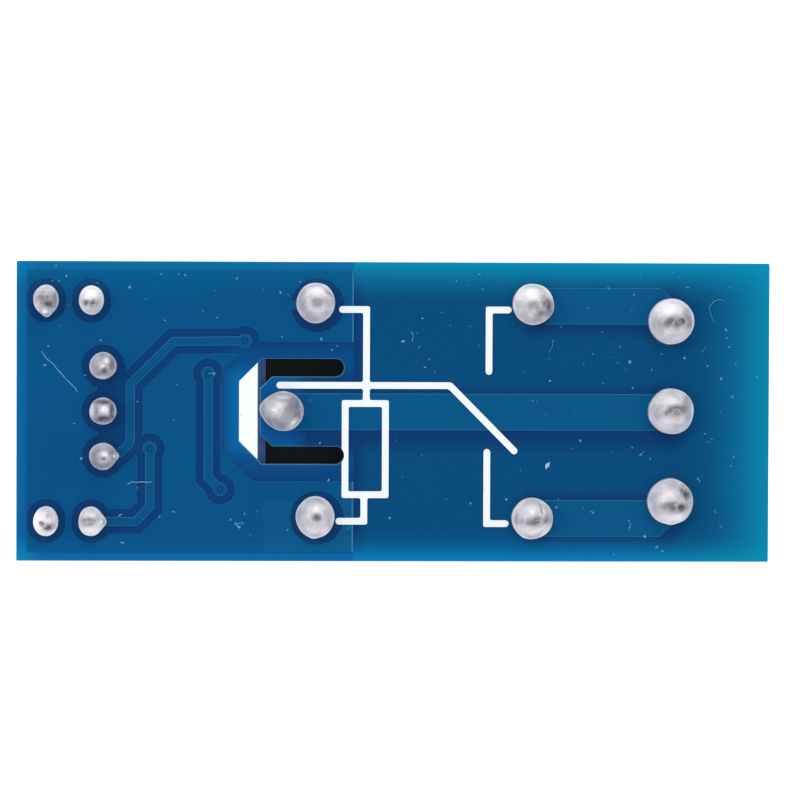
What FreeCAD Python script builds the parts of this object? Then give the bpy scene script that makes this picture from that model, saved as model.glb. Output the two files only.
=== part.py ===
import FreeCAD, Part
import math
import os
from FreeCAD import Vector

# A relay module board that lies on the flat top of its relay, solder side up.
# Lengths are in millimetres. X runs from the pin header to the screw terminals, Y across the board,
# and Z up from the surface that the relay's top rests on. The board's centre is at X = 0, Y = 0.

# Board
board_thickness = 1.6
board_corner_radius = 0.1
copper_thickness = 0.05
legend_thickness = 0.03
copper_clearance = 0.45
via_hole_radius = 0.16
via_pad_radius = 0.39

# Where things stand along the board
header_from_edge = 4.88
relay_from_header = 8.71
terminal_from_relay = 0.61
edge_past_terminal = 1.70

# Relay case and base
relay_height = 15.3
case_wall = 0.45
case_top = 0.6
case_edge_radius = 0.5
case_rim_chamfer = 0.25
case_past_contacts = 3.45
strip_to_wall = 1.05
standoff = 0.3
base_clearance = 0.05
base_recess = 0.1
base_thickness = 1.5
foot_width = 1.3
foot_inset = 1.3

# Relay pins
common_from_case = 1.35
side_pin_y = 6.0
coil_pin_width = 0.6
coil_pin_in_bobbin = 0.55
strip_thickness = 0.4
strip_pin_width = 1.0
strip_width = 1.6

# Relay magnet
yoke_thickness = 1.2
yoke_width = 8.0
yoke_bend_radius = 1.3
yoke_foot_past_core = 3.0
core_from_yoke = 5.1
core_radius = 2.0
core_play = 0.05
pole_radius = 3.2
pole_thickness = 0.9
bobbin_from_yoke = 0.05
bobbin_tube_wall = 0.7
bobbin_top_flange = 0.8
bobbin_bottom_flange = 1.0
bobbin_lug_inside_pin = 0.4
bobbin_lug_width = 1.0
bobbin_pin_depth = 1.3
winding_from_yoke = 0.7

# Relay armature and contacts
armature_thickness = 1.2
armature_width = 7.8
armature_past_pole = 1.0
armature_corner = 1.5
contact_past_armature = 3.5
pull_in_gap = 0.02
case_to_arm = 0.525
spring_thickness = 0.15
spring_width = 5.0
spring_bend_radius = 0.6
spring_arm_width = 2.6
spring_past_contact = 1.3
spring_leg_share = 3 / 7
spring_leg_gap_share = 1 / 13
contact_radius = 1.1
button_height = 0.5
fixed_button_height = 0.4
contact_stem_radius = 0.5
contact_travel = 0.45
contact_gap = 0.02
fixed_arm_width = 2.4
rivet_radius = 0.45
rivet_head_radius = 0.8
rivet_head_height = 0.3
yoke_rivet_radius = 0.35
yoke_rivet_below_pivot = 1.3
yoke_rivet_play = 0.06
common_strip_width = 2.5

# Screw terminal block
terminal_pitch = 5.08
terminal_poles = 3
terminal_back_wall = 1.1
terminal_front_wall = 1.95
terminal_end_wall = 0.74
terminal_shoulder = 6.4
terminal_nose = 1.2
terminal_groove_depth = 0.35
terminal_groove_width = 0.7
cage_width = 3.9
cage_side_wall = 0.6
cage_length = 3.6
cage_floor = 0.7
cage_roof = 1.2
cage_travel = 2.2
cage_play = 0.1
cage_front_play = 0.15
wire_space = 2.6
roof_above_tongue = 0.4
tongue_thickness = 0.6
tongue_side_play = 0.15
strip_back_play = 0.1
terminal_foot_thickness = 0.5
screw_radius = 1.2
screw_bore_play = 0.05
screw_head_radius = 1.9
screw_head_height = 1.3
screw_slot_width = 0.6
screw_slot_depth = 0.7
well_play = 0.1
well_lip_overlap = 0.15
well_lip_height = 0.4
window_width = 3.0
window_height = 3.0
window_below_floor = 0.1
window_flare = 0.5
window_flare_depth = 0.8
terminal_pin_depth = 0.8
terminal_pin_width = 1.0

# Pin header
header_pitch = 2.54
header_pins_count = 3
header_body_height = 2.54
header_body_corner = 0.35
header_pin_width = 0.64
header_pin_free = 6.0
header_pin_point = 0.15

# Lamps, one in each corner beside the header
led_from_end = 1.67
led_from_side = 2.23
led_pitch = 2.54
led_height = 5.3
led_resin_outside_thickness = 0.055
led_flange_width = 0.35
led_flange_height = 1.0
led_flat_width = 0.08
led_lead_width = 0.45
led_lead_inside = 3.0
led_anvil_length = 1.1
led_anvil_height = 1.0

# Solder joints
terminal_joint_radius = 1.30
terminal_joint_height = 1.25
contact_joint_radius = 1.18
contact_joint_height = 1.10
coil_joint_radius = 1.07
coil_joint_height = 1.00
common_joint_radius = 1.18
common_joint_height = 1.10
common_joint_extra_length = 0.15
header_joint_radius = 0.76
header_joint_height = 0.80
led_joint_radius = 0.725
led_joint_height = 0.85
led_joint_extra_length = 0.30
led_clearance = 0.38
lead_tip_length = 0.12
header_tip_length = 0.35
hole_clearance = 0.10

# A joint's section, from the board to its top, as shares of its radius and height
joint_profile = [(1.0, 0.0), (0.92, 0.42), (0.64, 0.78), (0.28, 1.0)]

# Flat sides that stand for a round one: on drilled holes and rivets, on joints, on rings and lamps
hole_sides = 12
joint_sides = 16
ring_sides = 24

# Slot milled round the common pin
slot_width = 1.02
slot_before_case = 1.06
slot_behind_case = 0.12
slot_arm_y = 2.475
slot_arm_from_common = 3.01
slot_chamfer = 1.28
tongue_chamfer = 0.68
slot_keep_out = 0.95
slot_keep_out_chamfer = 1.70

# Copper on the solder side
pour_end_inset = 0.60
pour_side_inset = 0.52
pour_beyond_ring = 0.41
pour_past_coil = 2.04
pour_sliver_reach = 0.32
signal_width = 0.50
contact_track_width = 2.06
contact_track_chamfer = 0.55
thermal_spoke_width = 0.48

# Corners of the tracks, as shares of the way from the header's pins to the relay, and of half the board's
# width
header_track_shares = [(0.1056, -0.2805), (0.1745, -0.2095), (0.1745, 0.1775), (0.4535, 0.4651),
                       (0.9139, 0.4710)]
lamp_track_shares = [(0.3020, -0.6414), (0.3020, -0.2473)]
lamp_track_bend_share = 0.2101
link_track_shares = [(0.6785, 0.2521), (0.6785, -0.4391), (0.7566, -0.5195)]

# Printed legend, as shares of the way from the common pin to the contact pins and of the coil pins' Y
coil_symbol_shares = [(0.2514, 0.0783), (0.4113, 0.0783), (0.4113, -0.7800), (0.2514, -0.7800)]
coil_upper_lead_shares = [(0.2390, 0.9617), (0.3352, 0.9617), (0.3352, 0.0783)]
coil_lower_lead_shares = [(0.3268, -0.7800), (0.3268, -1.0300), (0.2270, -1.0300)]
lever_symbol_shares = [(-0.0085, 0.2483), (0.6676, 0.2483), (0.9239, -0.3650)]
upper_contact_shares = [(0.8986, 0.9617), (0.8225, 0.9617), (0.8225, 0.3833)]
lower_contact_shares = [(0.8155, -0.3783), (0.8155, -1.0500), (0.8901, -1.0500)]
legend_width = 0.38
fine_legend_width = 0.16
legend_ring_gap = 0.15

# Surface-mounted parts in one row between the header and the relay; their Y as shares of half the board's
# width
small_parts_share = 0.5
diode_y_share = 0.710
input_chip_y_share = 0.385
transistor_y_share = -0.036
upper_chip_y_share = -0.473
lower_chip_y_share = -0.757
chip_length = 2.0
chip_width = 1.25
chip_height = 0.5
chip_cap_length = 0.4
chip_cap_wrap = 0.04
chip_pad_margin = 0.2
transistor_length = 2.9
transistor_body_width = 1.3
transistor_height = 1.0
transistor_draft = 0.12
transistor_lead_reach = 0.55
transistor_lead_width = 0.4
transistor_lead_thickness = 0.12
transistor_lead_bend = 0.15
transistor_lead_pitch = 0.95
transistor_lift = 0.08
transistor_pad_width = 0.6
transistor_toe_on_pad = 0.2
diode_length = 4.3
diode_width = 2.6
diode_height = 2.1
diode_draft = 0.2
diode_strap_width = 1.4
diode_strap_thickness = 0.2
diode_strap_foot = 1.1
diode_pad_margin = 0.15

# Tracks of the component side
component_track_width = 0.4
edge_track_inset = 0.7
input_bend_share = 0.218
base_track_y_share = 0.225
ground_bend_shares = (0.2526, 0.1033)
collector_bend_y_share = 0.024
upper_chip_bend_y_share = -0.391
upper_chip_exit_share = 0.711
diode_bend_y_share = 0.592
lower_chip_bend_share = 0.184
lower_chip_exit_share = 0.891

# Places that follow from the sizes above
relay_width = 2 * (side_pin_y + strip_thickness / 2 + strip_to_wall + case_wall)
coil_from_common = strip_thickness / 2 + yoke_thickness + bobbin_from_yoke + coil_pin_in_bobbin
contact_from_common = (strip_thickness / 2 + yoke_thickness + core_from_yoke + pole_radius + armature_past_pole
                       + contact_past_armature)
relay_length = common_from_case + contact_from_common + case_past_contacts
pins_from_terminal_back = (cage_length / 2 + cage_play + tongue_thickness + strip_back_play
                           + terminal_back_wall)
terminal_front_from_pins = cage_length / 2 + cage_front_play + terminal_front_wall
board_width = 2 * (side_pin_y + coil_joint_radius + copper_clearance + pour_beyond_ring + pour_side_inset)
board_length = (header_from_edge + relay_from_header + relay_length + terminal_from_relay
                + pins_from_terminal_back + terminal_front_from_pins + edge_past_terminal)
board_left = -board_length / 2
board_right = board_length / 2
component_face = relay_height
solder_face = component_face + board_thickness
header_x = board_left + header_from_edge
relay_left = header_x + relay_from_header
relay_right = relay_left + relay_length
common_x = relay_left + common_from_case
coil_x = common_x + coil_from_common
contact_x = common_x + contact_from_common
terminal_back = relay_right + terminal_from_relay
terminal_x = terminal_back + pins_from_terminal_back
terminal_front = terminal_x + terminal_front_from_pins
terminal_ys = [terminal_pitch * (i - (terminal_poles - 1) / 2) for i in range(terminal_poles)]
header_ys = [header_pitch * (i - (header_pins_count - 1) / 2) for i in range(header_pins_count)]
led_y = board_width / 2 - led_from_side
led_xs = [board_left + led_from_end, board_left + led_from_end + led_pitch]
led_x = sum(led_xs) / 2
led_radius = led_pitch / 2 + led_lead_width / 2 + led_resin_outside_thickness
seat = component_face - copper_thickness
small_parts_x = header_x + small_parts_share * relay_from_header


def along(share):
    """A place between the header's pins and the relay."""
    return header_x + share * relay_from_header


def across(share):
    """A place between the board's middle and its +Y edge."""
    return share * board_width / 2


def board_places(shares):
    return [(along(a), across(b)) for a, b in shares]


via_a = board_places(header_track_shares)[-1]
via_b = board_places(lamp_track_shares)[-1]
via_c = board_places(link_track_shares)[0]
via_d = board_places(link_track_shares)[-1]
vias = [via_a, via_b, via_c, via_d]


def box(x0, x1, y0, y1, z0, z1):
    return Part.makeBox(x1 - x0, y1 - y0, z1 - z0, Vector(x0, y0, z0))


def cylinder(x, y, z0, z1, radius):
    return Part.makeCylinder(radius, z1 - z0, Vector(x, y, z0))


def square_bar(x, y, z0, z1, size_x, size_y):
    return box(x - size_x / 2, x + size_x / 2, y - size_y / 2, y + size_y / 2, z0, z1)


def plate(points, z0, z1):
    """A flat outline in X and Y, between two heights."""
    outline = Part.makePolygon([Vector(x, y, z0) for x, y in points + points[:1]])
    return Part.Face(outline).extrude(Vector(0, 0, z1 - z0))


def side_profile(points, y0, y1):
    """An outline in X and Z, swept across the board."""
    outline = Part.makePolygon([Vector(x, y0, z) for x, z in points + points[:1]])
    return Part.Face(outline).extrude(Vector(0, y1 - y0, 0))


def end_profile(points, x0, x1):
    """An outline in Y and Z, swept along the board."""
    outline = Part.makePolygon([Vector(x0, y, z) for y, z in points + points[:1]])
    return Part.Face(outline).extrude(Vector(x1 - x0, 0, 0))


def oval(x, y, radius, long_x=0.0, long_y=0.0, sides=hole_sides):
    """Corners of a circle, or of one drawn out along X or Y."""
    points = []
    for i in range(sides):
        angle = 2 * math.pi * (i + 0.5) / sides
        c, s = math.cos(angle), math.sin(angle)
        points.append((x + radius * c + math.copysign(long_x / 2, c),
                       y + radius * s + math.copysign(long_y / 2, s)))
    return points


def rod(x, y, z0, z1, radius, sides=hole_sides):
    """An upright round bar drawn with flat sides."""
    return plate(oval(x, y, radius, sides=sides), z0, z1)


def stack(rings):
    """A closed solid through rings of corners that all have the same number of corners."""
    faces = [Part.Face(Part.makePolygon(ring + ring[:1])) for ring in (rings[0], rings[-1])]
    for low, high in zip(rings, rings[1:]):
        for i in range(len(low)):
            j = (i + 1) % len(low)
            faces.append(Part.Face(Part.makePolygon([low[i], low[j], high[j], high[i], low[i]])))
    shell = Part.makeShell(faces)
    shell.sewShape()
    solid = Part.makeSolid(shell)
    return solid if solid.Volume > 0 else solid.reversed()


def join(shapes):
    """One solid from shapes that share faces or overlap."""
    return shapes[0].multiFuse(shapes[1:]).removeSplitter() if len(shapes) > 1 else shapes[0]


def solids_of(shapes):
    return Part.makeCompound([solid for shape in shapes for solid in shape.Solids])


def heading(start, end):
    length = math.hypot(end[0] - start[0], end[1] - start[1])
    return (end[0] - start[0]) / length, (end[1] - start[1]) / length


def side_line(points, offset, closed):
    """The line beside a run of points, with mitred corners."""
    line = []
    last = len(points) - 1
    for i, (x, y) in enumerate(points):
        into = heading(points[i - 1], points[i]) if i > 0 or closed else heading(points[0], points[1])
        out = heading(points[i], points[(i + 1) % len(points)]) if i < last or closed else into
        scale = offset / (1 + into[0] * out[0] + into[1] * out[1])
        line.append((x - (into[1] + out[1]) * scale, y + (into[0] + out[0]) * scale))
    return line


def stripe(points, width, z0, z1):
    """A flat line of one width, round at its two ends."""
    outline = side_line(points, width / 2, False) + side_line(points, -width / 2, False)[::-1]
    ends = [rod(x, y, z0, z1, width / 2, joint_sides) for x, y in (points[0], points[-1])]
    return join([plate(outline, z0, z1)] + ends)


def loop(points, width, z0, z1):
    """A flat closed line of one width."""
    inner, outer = sorted((plate(side_line(points, side * width / 2, True), z0, z1) for side in (-1, 1)),
                          key=lambda shape: shape.Volume)
    return outer.cut(inner)


def hole_for(size_x, size_y):
    """Radius of the drilled hole that takes a lead of this section."""
    return math.hypot(size_x, size_y) / 2 + hole_clearance


header_hole = hole_for(header_pin_width, header_pin_width)
led_hole = hole_for(led_lead_width, led_lead_width)
coil_hole = hole_for(coil_pin_width, coil_pin_width)
strip_hole = hole_for(strip_thickness, strip_pin_width)
terminal_hole = hole_for(terminal_pin_depth, terminal_pin_width)


def joint_rows():
    """Soldered holes by group: place and radius, then the solder's radius, height and drawn-out lengths."""
    sides = (1, -1)
    return {
        "terminal": [(terminal_x, y, terminal_hole, terminal_joint_radius, terminal_joint_height, 0, 0)
                     for y in terminal_ys],
        "contact": [(contact_x, side * side_pin_y, strip_hole, contact_joint_radius, contact_joint_height,
                     0, 0) for side in sides],
        "coil": [(coil_x, side * side_pin_y, coil_hole, coil_joint_radius, coil_joint_height, 0, 0)
                 for side in sides],
        "common": [(common_x, 0, strip_hole, common_joint_radius, common_joint_height,
                    common_joint_extra_length, 0)],
        "header": [(header_x, y, header_hole, header_joint_radius, header_joint_height, 0, 0)
                   for y in header_ys],
        "led": [(x, side * led_y, led_hole, led_joint_radius, led_joint_height, 0, led_joint_extra_length)
                for side in sides for x in led_xs],
    }


def all_joints():
    return [row for rows in joint_rows().values() for row in rows]


def footprint(row, z0, z1, grow=0.0, sides=joint_sides):
    """What a solder joint covers of the board, grown by a margin."""
    x, y, hole, radius, height, long_x, long_y = row
    return plate(oval(x - long_x / 2, y, radius + grow, long_x, long_y, sides), z0, z1)


def lead_holes(z0, z1):
    return [rod(row[0], row[1], z0, z1, row[2]) for row in all_joints()]


def solder_joint(row, lead):
    """Solder heaped on a pad and drawn through its hole, round the lead that it holds."""
    x, y, hole, radius, height, long_x, long_y = row
    rings = []
    for share, rise in joint_profile:
        corners = oval(x - long_x / 2, y, share * radius, share * long_x, share * long_y, joint_sides)
        rings.append([Vector(px, py, solder_face + rise * height) for px, py in corners])
    barrel = rod(x, y, component_face, solder_face, hole)
    return join([stack(rings), barrel]).cut(lead)


def solder_joints(rows, leads):
    return solids_of([solder_joint(row, lead) for row, lead in zip(rows, leads)])


def slot_cutter(z0, z1):
    """The U-shaped slot that leaves a tongue under the common pin."""
    left = relay_left - slot_before_case
    tongue_left = relay_left + slot_behind_case
    arm_end = common_x + slot_arm_from_common
    outer, inner = slot_arm_y + slot_width / 2, slot_arm_y - slot_width / 2
    around = plate([(left, outer - slot_chamfer), (left + slot_chamfer, outer), (arm_end, outer),
                    (arm_end, -outer), (left + slot_chamfer, -outer), (left, slot_chamfer - outer)], z0, z1)
    tongue = plate([(tongue_left, inner - tongue_chamfer), (tongue_left + tongue_chamfer, inner),
                    (arm_end + slot_width, inner), (arm_end + slot_width, -inner),
                    (tongue_left + tongue_chamfer, -inner), (tongue_left, tongue_chamfer - inner)], z0, z1)
    ends = [cylinder(arm_end, side * slot_arm_y, z0, z1, slot_width / 2) for side in (-1, 1)]
    return around.cut(tongue).multiFuse(ends)


def build_laminate():
    board = box(board_left, board_right, -board_width / 2, board_width / 2, component_face, solder_face)
    corners = [e for e in board.Edges if abs(e.BoundBox.ZLength - board_thickness) < 1e-6]
    board = board.makeFillet(board_corner_radius, corners)
    drills = lead_holes(component_face, solder_face)
    drills += [rod(x, y, component_face, solder_face, via_hole_radius) for x, y in vias]
    return board.cut(Part.makeCompound(drills)).cut(slot_cutter(component_face, solder_face))


def signal_routes():
    """The three thin tracks of the solder side, as lists of corners."""
    from_header = [(header_x, header_ys[0])] + board_places(header_track_shares)
    from_lamp = [(led_xs[1], -led_y), (along(lamp_track_bend_share), -led_y)]
    from_lamp += board_places(lamp_track_shares)
    return [from_header, from_lamp, board_places(link_track_shares)]


def build_pour():
    """The copper area of the solder side, cut back round every track and pad that it must not touch."""
    z0, z1 = solder_face, solder_face + copper_thickness
    half_width = board_width / 2 - pour_side_inset
    right = coil_x + pour_past_coil
    pour = box(board_left + pour_end_inset, right, -half_width, half_width, z0, z1)
    keep = slot_arm_y + slot_width / 2 + slot_keep_out
    left = relay_left - slot_before_case - slot_keep_out
    step = slot_keep_out_chamfer
    gaps = [plate([(left, keep - step), (left + step, keep), (right, keep), (right, -keep),
                   (left + step, -keep), (left, step - keep)], z0, z1)]
    gaps.append(box(header_x - pour_sliver_reach, along(header_track_shares[1][0]) - signal_width / 2,
                    header_ys[0], header_ys[-1], z0, z1))
    gaps += [stripe(route, signal_width + 2 * copper_clearance, z0, z1) for route in signal_routes()]
    gaps += [rod(x, y, z0, z1, via_pad_radius + copper_clearance, ring_sides) for x, y in vias]
    rows = joint_rows()
    gaps += [footprint(row, z0, z1, copper_clearance, ring_sides) for row in rows["header"] + rows["coil"]]
    gaps += [footprint(row, z0, z1, led_clearance, ring_sides) for row in rows["led"]]
    spoke = box(coil_x - coil_joint_radius - 2 * copper_clearance, coil_x,
                side_pin_y - thermal_spoke_width / 2, side_pin_y + thermal_spoke_width / 2, z0, z1)
    return join([pour.cut(Part.makeCompound(gaps)), spoke.cut(footprint(rows["coil"][0], z0, z1))])


def build_signal_tracks():
    z0, z1 = solder_face, solder_face + copper_thickness
    covered = Part.makeCompound([footprint(row, z0, z1) for row in all_joints()])
    tracks = []
    for route in signal_routes():
        pieces = [stripe(route, signal_width, z0, z1)]
        pieces += [rod(x, y, z0, z1, via_pad_radius, joint_sides) for x, y in vias if (x, y) in route]
        tracks.append(join(pieces).cut(covered))
    return solids_of(tracks)


def build_contact_tracks():
    """The three wide tracks from the relay's contacts to the screw terminals."""
    z0, z1 = solder_face, solder_face + copper_thickness
    half = contact_track_width / 2
    tracks = [box(common_x, terminal_x, -half, half, z0, z1)]
    for side in (-1, 1):
        outer, inner = side * (side_pin_y + half), side * (side_pin_y - half)
        tracks.append(plate([(contact_x, inner), (terminal_x, inner),
                             (terminal_x, outer - side * contact_track_chamfer),
                             (terminal_x - contact_track_chamfer, outer), (contact_x, outer)], z0, z1))
    covered = Part.makeCompound([footprint(row, z0, z1) for row in all_joints()])
    return solids_of([track.cut(covered) for track in tracks])


def build_solder_legend(copper):
    """The coil and changeover symbols printed across the solder side."""
    z0, z1 = solder_face, solder_face + copper_thickness + legend_thickness

    def places(shares):
        return [(common_x + a * contact_from_common, b * side_pin_y) for a, b in shares]

    def line(shares):
        return stripe(places(shares), legend_width, z0, z1)

    coil = [loop(places(coil_symbol_shares), legend_width, z0, z1), line(coil_upper_lead_shares),
            line(coil_lower_lead_shares), line(lever_symbol_shares)]
    drawn = [join(coil), line(upper_contact_shares), line(lower_contact_shares)]
    covered = Part.makeCompound([footprint(row, z0, z1) for row in all_joints()] + copper)
    return solids_of([shape.cut(covered).cut(slot_cutter(z0, z1)) for shape in drawn])


def lead_bar(x, y, size_x, size_y, z0, past):
    """A lead from height z0 to its tip past the board."""
    return square_bar(x, y, z0, solder_face + past, size_x, size_y)


def build_relay_case():
    shell = box(relay_left, relay_right, -relay_width / 2, relay_width / 2, 0, component_face - standoff)
    shell = shell.makeFillet(case_edge_radius, [e for e in shell.Edges if e.BoundBox.ZLength > 1])
    shell = shell.makeChamfer(case_rim_chamfer, [e for e in shell.Edges if e.BoundBox.ZMax < 1e-6])
    return shell.cut(box(relay_left + case_wall, relay_right - case_wall, case_wall - relay_width / 2,
                         relay_width / 2 - case_wall, case_top, component_face - standoff))


# Heights inside the relay, and the place that its armature turns about
base_outer_z = component_face - standoff - base_recess
base_inner_z = base_outer_z - base_thickness
yoke_foot_z = base_inner_z - yoke_thickness
yoke_back = common_x + strip_thickness / 2
yoke_inner = yoke_back + yoke_thickness
core_x = yoke_inner + core_from_yoke
armature_tilt = math.asin(contact_travel / (contact_x - yoke_back))
closed_drop = pull_in_gap + armature_thickness + spring_thickness + button_height
closed_arm_drop = (closed_drop * math.cos(armature_tilt) + contact_travel + contact_gap
                   + contact_radius * math.sin(armature_tilt) + fixed_button_height + strip_thickness)
nc_arm_z = case_top + case_to_arm
pole_z = nc_arm_z + closed_arm_drop
no_face_z = pole_z - pull_in_gap - armature_thickness + button_height + contact_gap
no_arm_z = no_face_z + fixed_button_height
pivot = Vector(yoke_back, 0, pole_z)
spring_leg_length = (base_inner_z - pole_z) * spring_leg_share
common_strip_top = pole_z + spring_leg_length + (base_inner_z - pole_z) * spring_leg_gap_share
winding_radius = core_from_yoke - winding_from_yoke
winding_top = pole_z + pole_thickness + bobbin_top_flange
winding_bottom = yoke_foot_z - bobbin_bottom_flange
tube_radius = core_radius + core_play + bobbin_tube_wall


def common_terminal():
    """A strip riveted to the yoke's back that narrows to the common pin."""
    half, pin = common_strip_width / 2, strip_pin_width / 2
    tip = solder_face + common_joint_height + lead_tip_length
    outline = [(-half, common_strip_top), (half, common_strip_top), (half, base_inner_z), (pin, base_inner_z),
               (pin, tip), (-pin, tip), (-pin, base_inner_z), (-half, base_inner_z)]
    return end_profile(outline, yoke_back - strip_thickness, yoke_back)


def contact_terminal(side, arm_z):
    """An upright strip beside the case wall, with an arm that carries the fixed contact over the middle."""
    y = side * side_pin_y
    outer, inner = y + side * strip_thickness / 2, y - side * strip_thickness / 2
    upright = box(contact_x - strip_width / 2, contact_x + strip_width / 2, min(outer, inner),
                  max(outer, inner), arm_z, base_inner_z)
    pin = lead_bar(contact_x, y, strip_pin_width, strip_thickness, base_inner_z,
                   contact_joint_height + lead_tip_length)
    far = -side * fixed_arm_width / 2
    arm = box(contact_x - fixed_arm_width / 2, contact_x + fixed_arm_width / 2, min(outer, far),
              max(outer, far), arm_z, arm_z + strip_thickness)
    return join([upright, pin, arm])


def fixed_contact(z0, z1):
    return rod(contact_x, 0, z0, z1, contact_radius, joint_sides)


def coil_pins():
    return [lead_bar(coil_x, side * side_pin_y, coil_pin_width, coil_pin_width, base_inner_z - bobbin_pin_depth,
                     coil_joint_height + lead_tip_length) for side in (1, -1)]


def build_relay_base(pins):
    edge = case_wall + base_clearance
    pieces = [box(relay_left + edge, relay_right - edge, edge - relay_width / 2, relay_width / 2 - edge,
                  base_inner_z, base_outer_z)]
    for x in (relay_left + foot_inset, relay_right - foot_inset):
        for side in (-1, 1):
            pieces.append(square_bar(x, side * (relay_width / 2 - foot_inset), base_outer_z, component_face,
                                     foot_width, foot_width))
    return join(pieces).cut(Part.makeCompound(pins))


def build_yoke():
    """A strip bent to an L: its foot under the bobbin and its back up to the armature."""
    foot_end = core_x + yoke_foot_past_core
    outline = [(yoke_back, pole_z), (yoke_inner, pole_z), (yoke_inner, yoke_foot_z), (foot_end, yoke_foot_z),
               (foot_end, base_inner_z), (yoke_back, base_inner_z)]
    yoke = side_profile(outline, -yoke_width / 2, yoke_width / 2)
    corner = [e for e in yoke.Edges if abs(e.BoundBox.XMax - yoke_back) < 1e-6
              and abs(e.BoundBox.ZMin - base_inner_z) < 1e-6 and e.BoundBox.YLength > 1]
    yoke = yoke.makeFillet(yoke_bend_radius, corner)
    return yoke.cut(rod(core_x, 0, yoke_foot_z, base_inner_z, core_radius, ring_sides))


def build_core():
    pole = rod(core_x, 0, pole_z, pole_z + pole_thickness, pole_radius, ring_sides)
    shaft = rod(core_x, 0, pole_z + pole_thickness, base_inner_z, core_radius, ring_sides)
    return join([pole, shaft])


def build_bobbin(pins):
    half_x, half_y = core_from_yoke - bobbin_from_yoke, side_pin_y - bobbin_lug_inside_pin
    left, right = core_x - half_x, core_x + half_x
    top = box(left, right, -half_y, half_y, pole_z + pole_thickness, winding_top)
    bottom = box(left, right, -half_y, half_y, winding_bottom, yoke_foot_z)
    tube = rod(core_x, 0, winding_top, winding_bottom, tube_radius, ring_sides)
    lugs = []
    for side in (-1, 1):
        near, far = side * half_y, side * (half_y + bobbin_lug_width)
        lugs.append(box(left, left + 2 * coil_pin_width, min(near, far), max(near, far), winding_bottom,
                        base_inner_z))
    bore = rod(core_x, 0, pole_z + pole_thickness, yoke_foot_z, core_radius + core_play, ring_sides)
    return join([top, bottom, tube] + lugs).cut(Part.makeCompound([bore] + pins))


def build_winding():
    outside = rod(core_x, 0, winding_top, winding_bottom, winding_radius, ring_sides)
    return outside.cut(rod(core_x, 0, winding_top, winding_bottom, tube_radius, ring_sides))


def to_rest(shape):
    """Swing a piece drawn with the armature pulled in back to where its spring holds it."""
    shape.rotate(pivot, Vector(0, 1, 0), math.degrees(armature_tilt))
    return shape


def build_armature(rivets):
    top = pole_z - pull_in_gap - armature_thickness
    front = core_x + pole_radius + armature_past_pole
    half = armature_width / 2
    outline = [(yoke_back, -half), (front - armature_corner, -half), (front, armature_corner - half),
               (front, half - armature_corner), (front - armature_corner, half), (yoke_back, half)]
    blank = plate(outline, top, top + armature_thickness)
    back = [e for e in blank.Edges if e.BoundBox.XMax - yoke_back < 1e-6 and e.BoundBox.YLength > 1
            and abs(e.BoundBox.ZMax - top) < 1e-6]
    blank = blank.makeFillet(spring_bend_radius, back)
    return to_rest(blank).cut(Part.makeCompound(rivets))


def armature_rivets():
    top = pole_z - pull_in_gap - armature_thickness
    rivets = []
    for x in (core_x - pole_radius / 2, core_x + pole_radius):
        shank = rod(x, 0, top - spring_thickness, top + armature_thickness, rivet_radius)
        head = rod(x, 0, top - spring_thickness - rivet_head_height, top - spring_thickness, rivet_head_radius)
        rivets.append(to_rest(join([head, shank])))
    return rivets


def moving_contact():
    leaf_top = pole_z - pull_in_gap - armature_thickness - spring_thickness
    stem = rod(contact_x, 0, leaf_top, leaf_top + spring_thickness, contact_stem_radius)
    front = rod(contact_x, 0, leaf_top + spring_thickness, leaf_top + spring_thickness + button_height,
                contact_radius, joint_sides)
    back = rod(contact_x, 0, leaf_top - button_height, leaf_top, contact_radius, joint_sides)
    return to_rest(join([stem, front, back]))


def build_spring(through):
    """The common leaf: flat on the armature, bent round its back edge and down the yoke's back."""
    along_leaf = Vector(math.cos(armature_tilt), 0, -math.sin(armature_tilt))
    outward = Vector(-math.sin(armature_tilt), 0, -math.cos(armature_tilt))
    top = pole_z - pull_in_gap - armature_thickness
    centre = to_rest(Part.Vertex(yoke_back + spring_bend_radius, 0, top + spring_bend_radius)).Point
    inner, outer = spring_bend_radius, spring_bend_radius + spring_thickness
    reach = contact_x + spring_past_contact - centre.x
    leg_end = pole_z + spring_leg_length
    turn = Vector(-math.cos(math.pi / 4), 0, -math.sin(math.pi / 4))

    def corner(radius):
        return (centre + Vector(-radius, 0, 0), centre + turn * radius, centre + outward * radius)

    inner_leg, inner_mid, inner_top = corner(inner)
    outer_leg, outer_mid, outer_top = corner(outer)
    foot_in, foot_out = Vector(inner_leg.x, 0, leg_end), Vector(outer_leg.x, 0, leg_end)
    edges = [
        Part.LineSegment(foot_in, inner_leg).toShape(),
        Part.Arc(inner_leg, inner_mid, inner_top).toShape(),
        Part.LineSegment(inner_top, inner_top + along_leaf * reach).toShape(),
        Part.LineSegment(inner_top + along_leaf * reach, outer_top + along_leaf * reach).toShape(),
        Part.LineSegment(outer_top + along_leaf * reach, outer_top).toShape(),
        Part.Arc(outer_top, outer_mid, outer_leg).toShape(),
        Part.LineSegment(outer_leg, foot_out).toShape(),
        Part.LineSegment(foot_out, foot_in).toShape(),
    ]
    leaf = Part.Face(Part.Wire(edges)).extrude(Vector(0, spring_width, 0))
    leaf.translate(Vector(0, -spring_width / 2, 0))
    far = core_x + pole_radius + armature_past_pole
    shoulder = far + (spring_width - spring_arm_width) / 2
    beyond = contact_x + 2 * spring_past_contact
    trims = []
    for side in (-1, 1):
        wide, narrow = side * spring_width, side * spring_arm_width / 2
        trims.append(plate([(far, side * spring_width / 2), (shoulder, narrow), (beyond, narrow),
                            (beyond, wide), (far, wide)], 0, pole_z))
    return leaf.cut(Part.makeCompound(trims + through + [yoke_rivet_shank(yoke_rivet_play)]))


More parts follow.
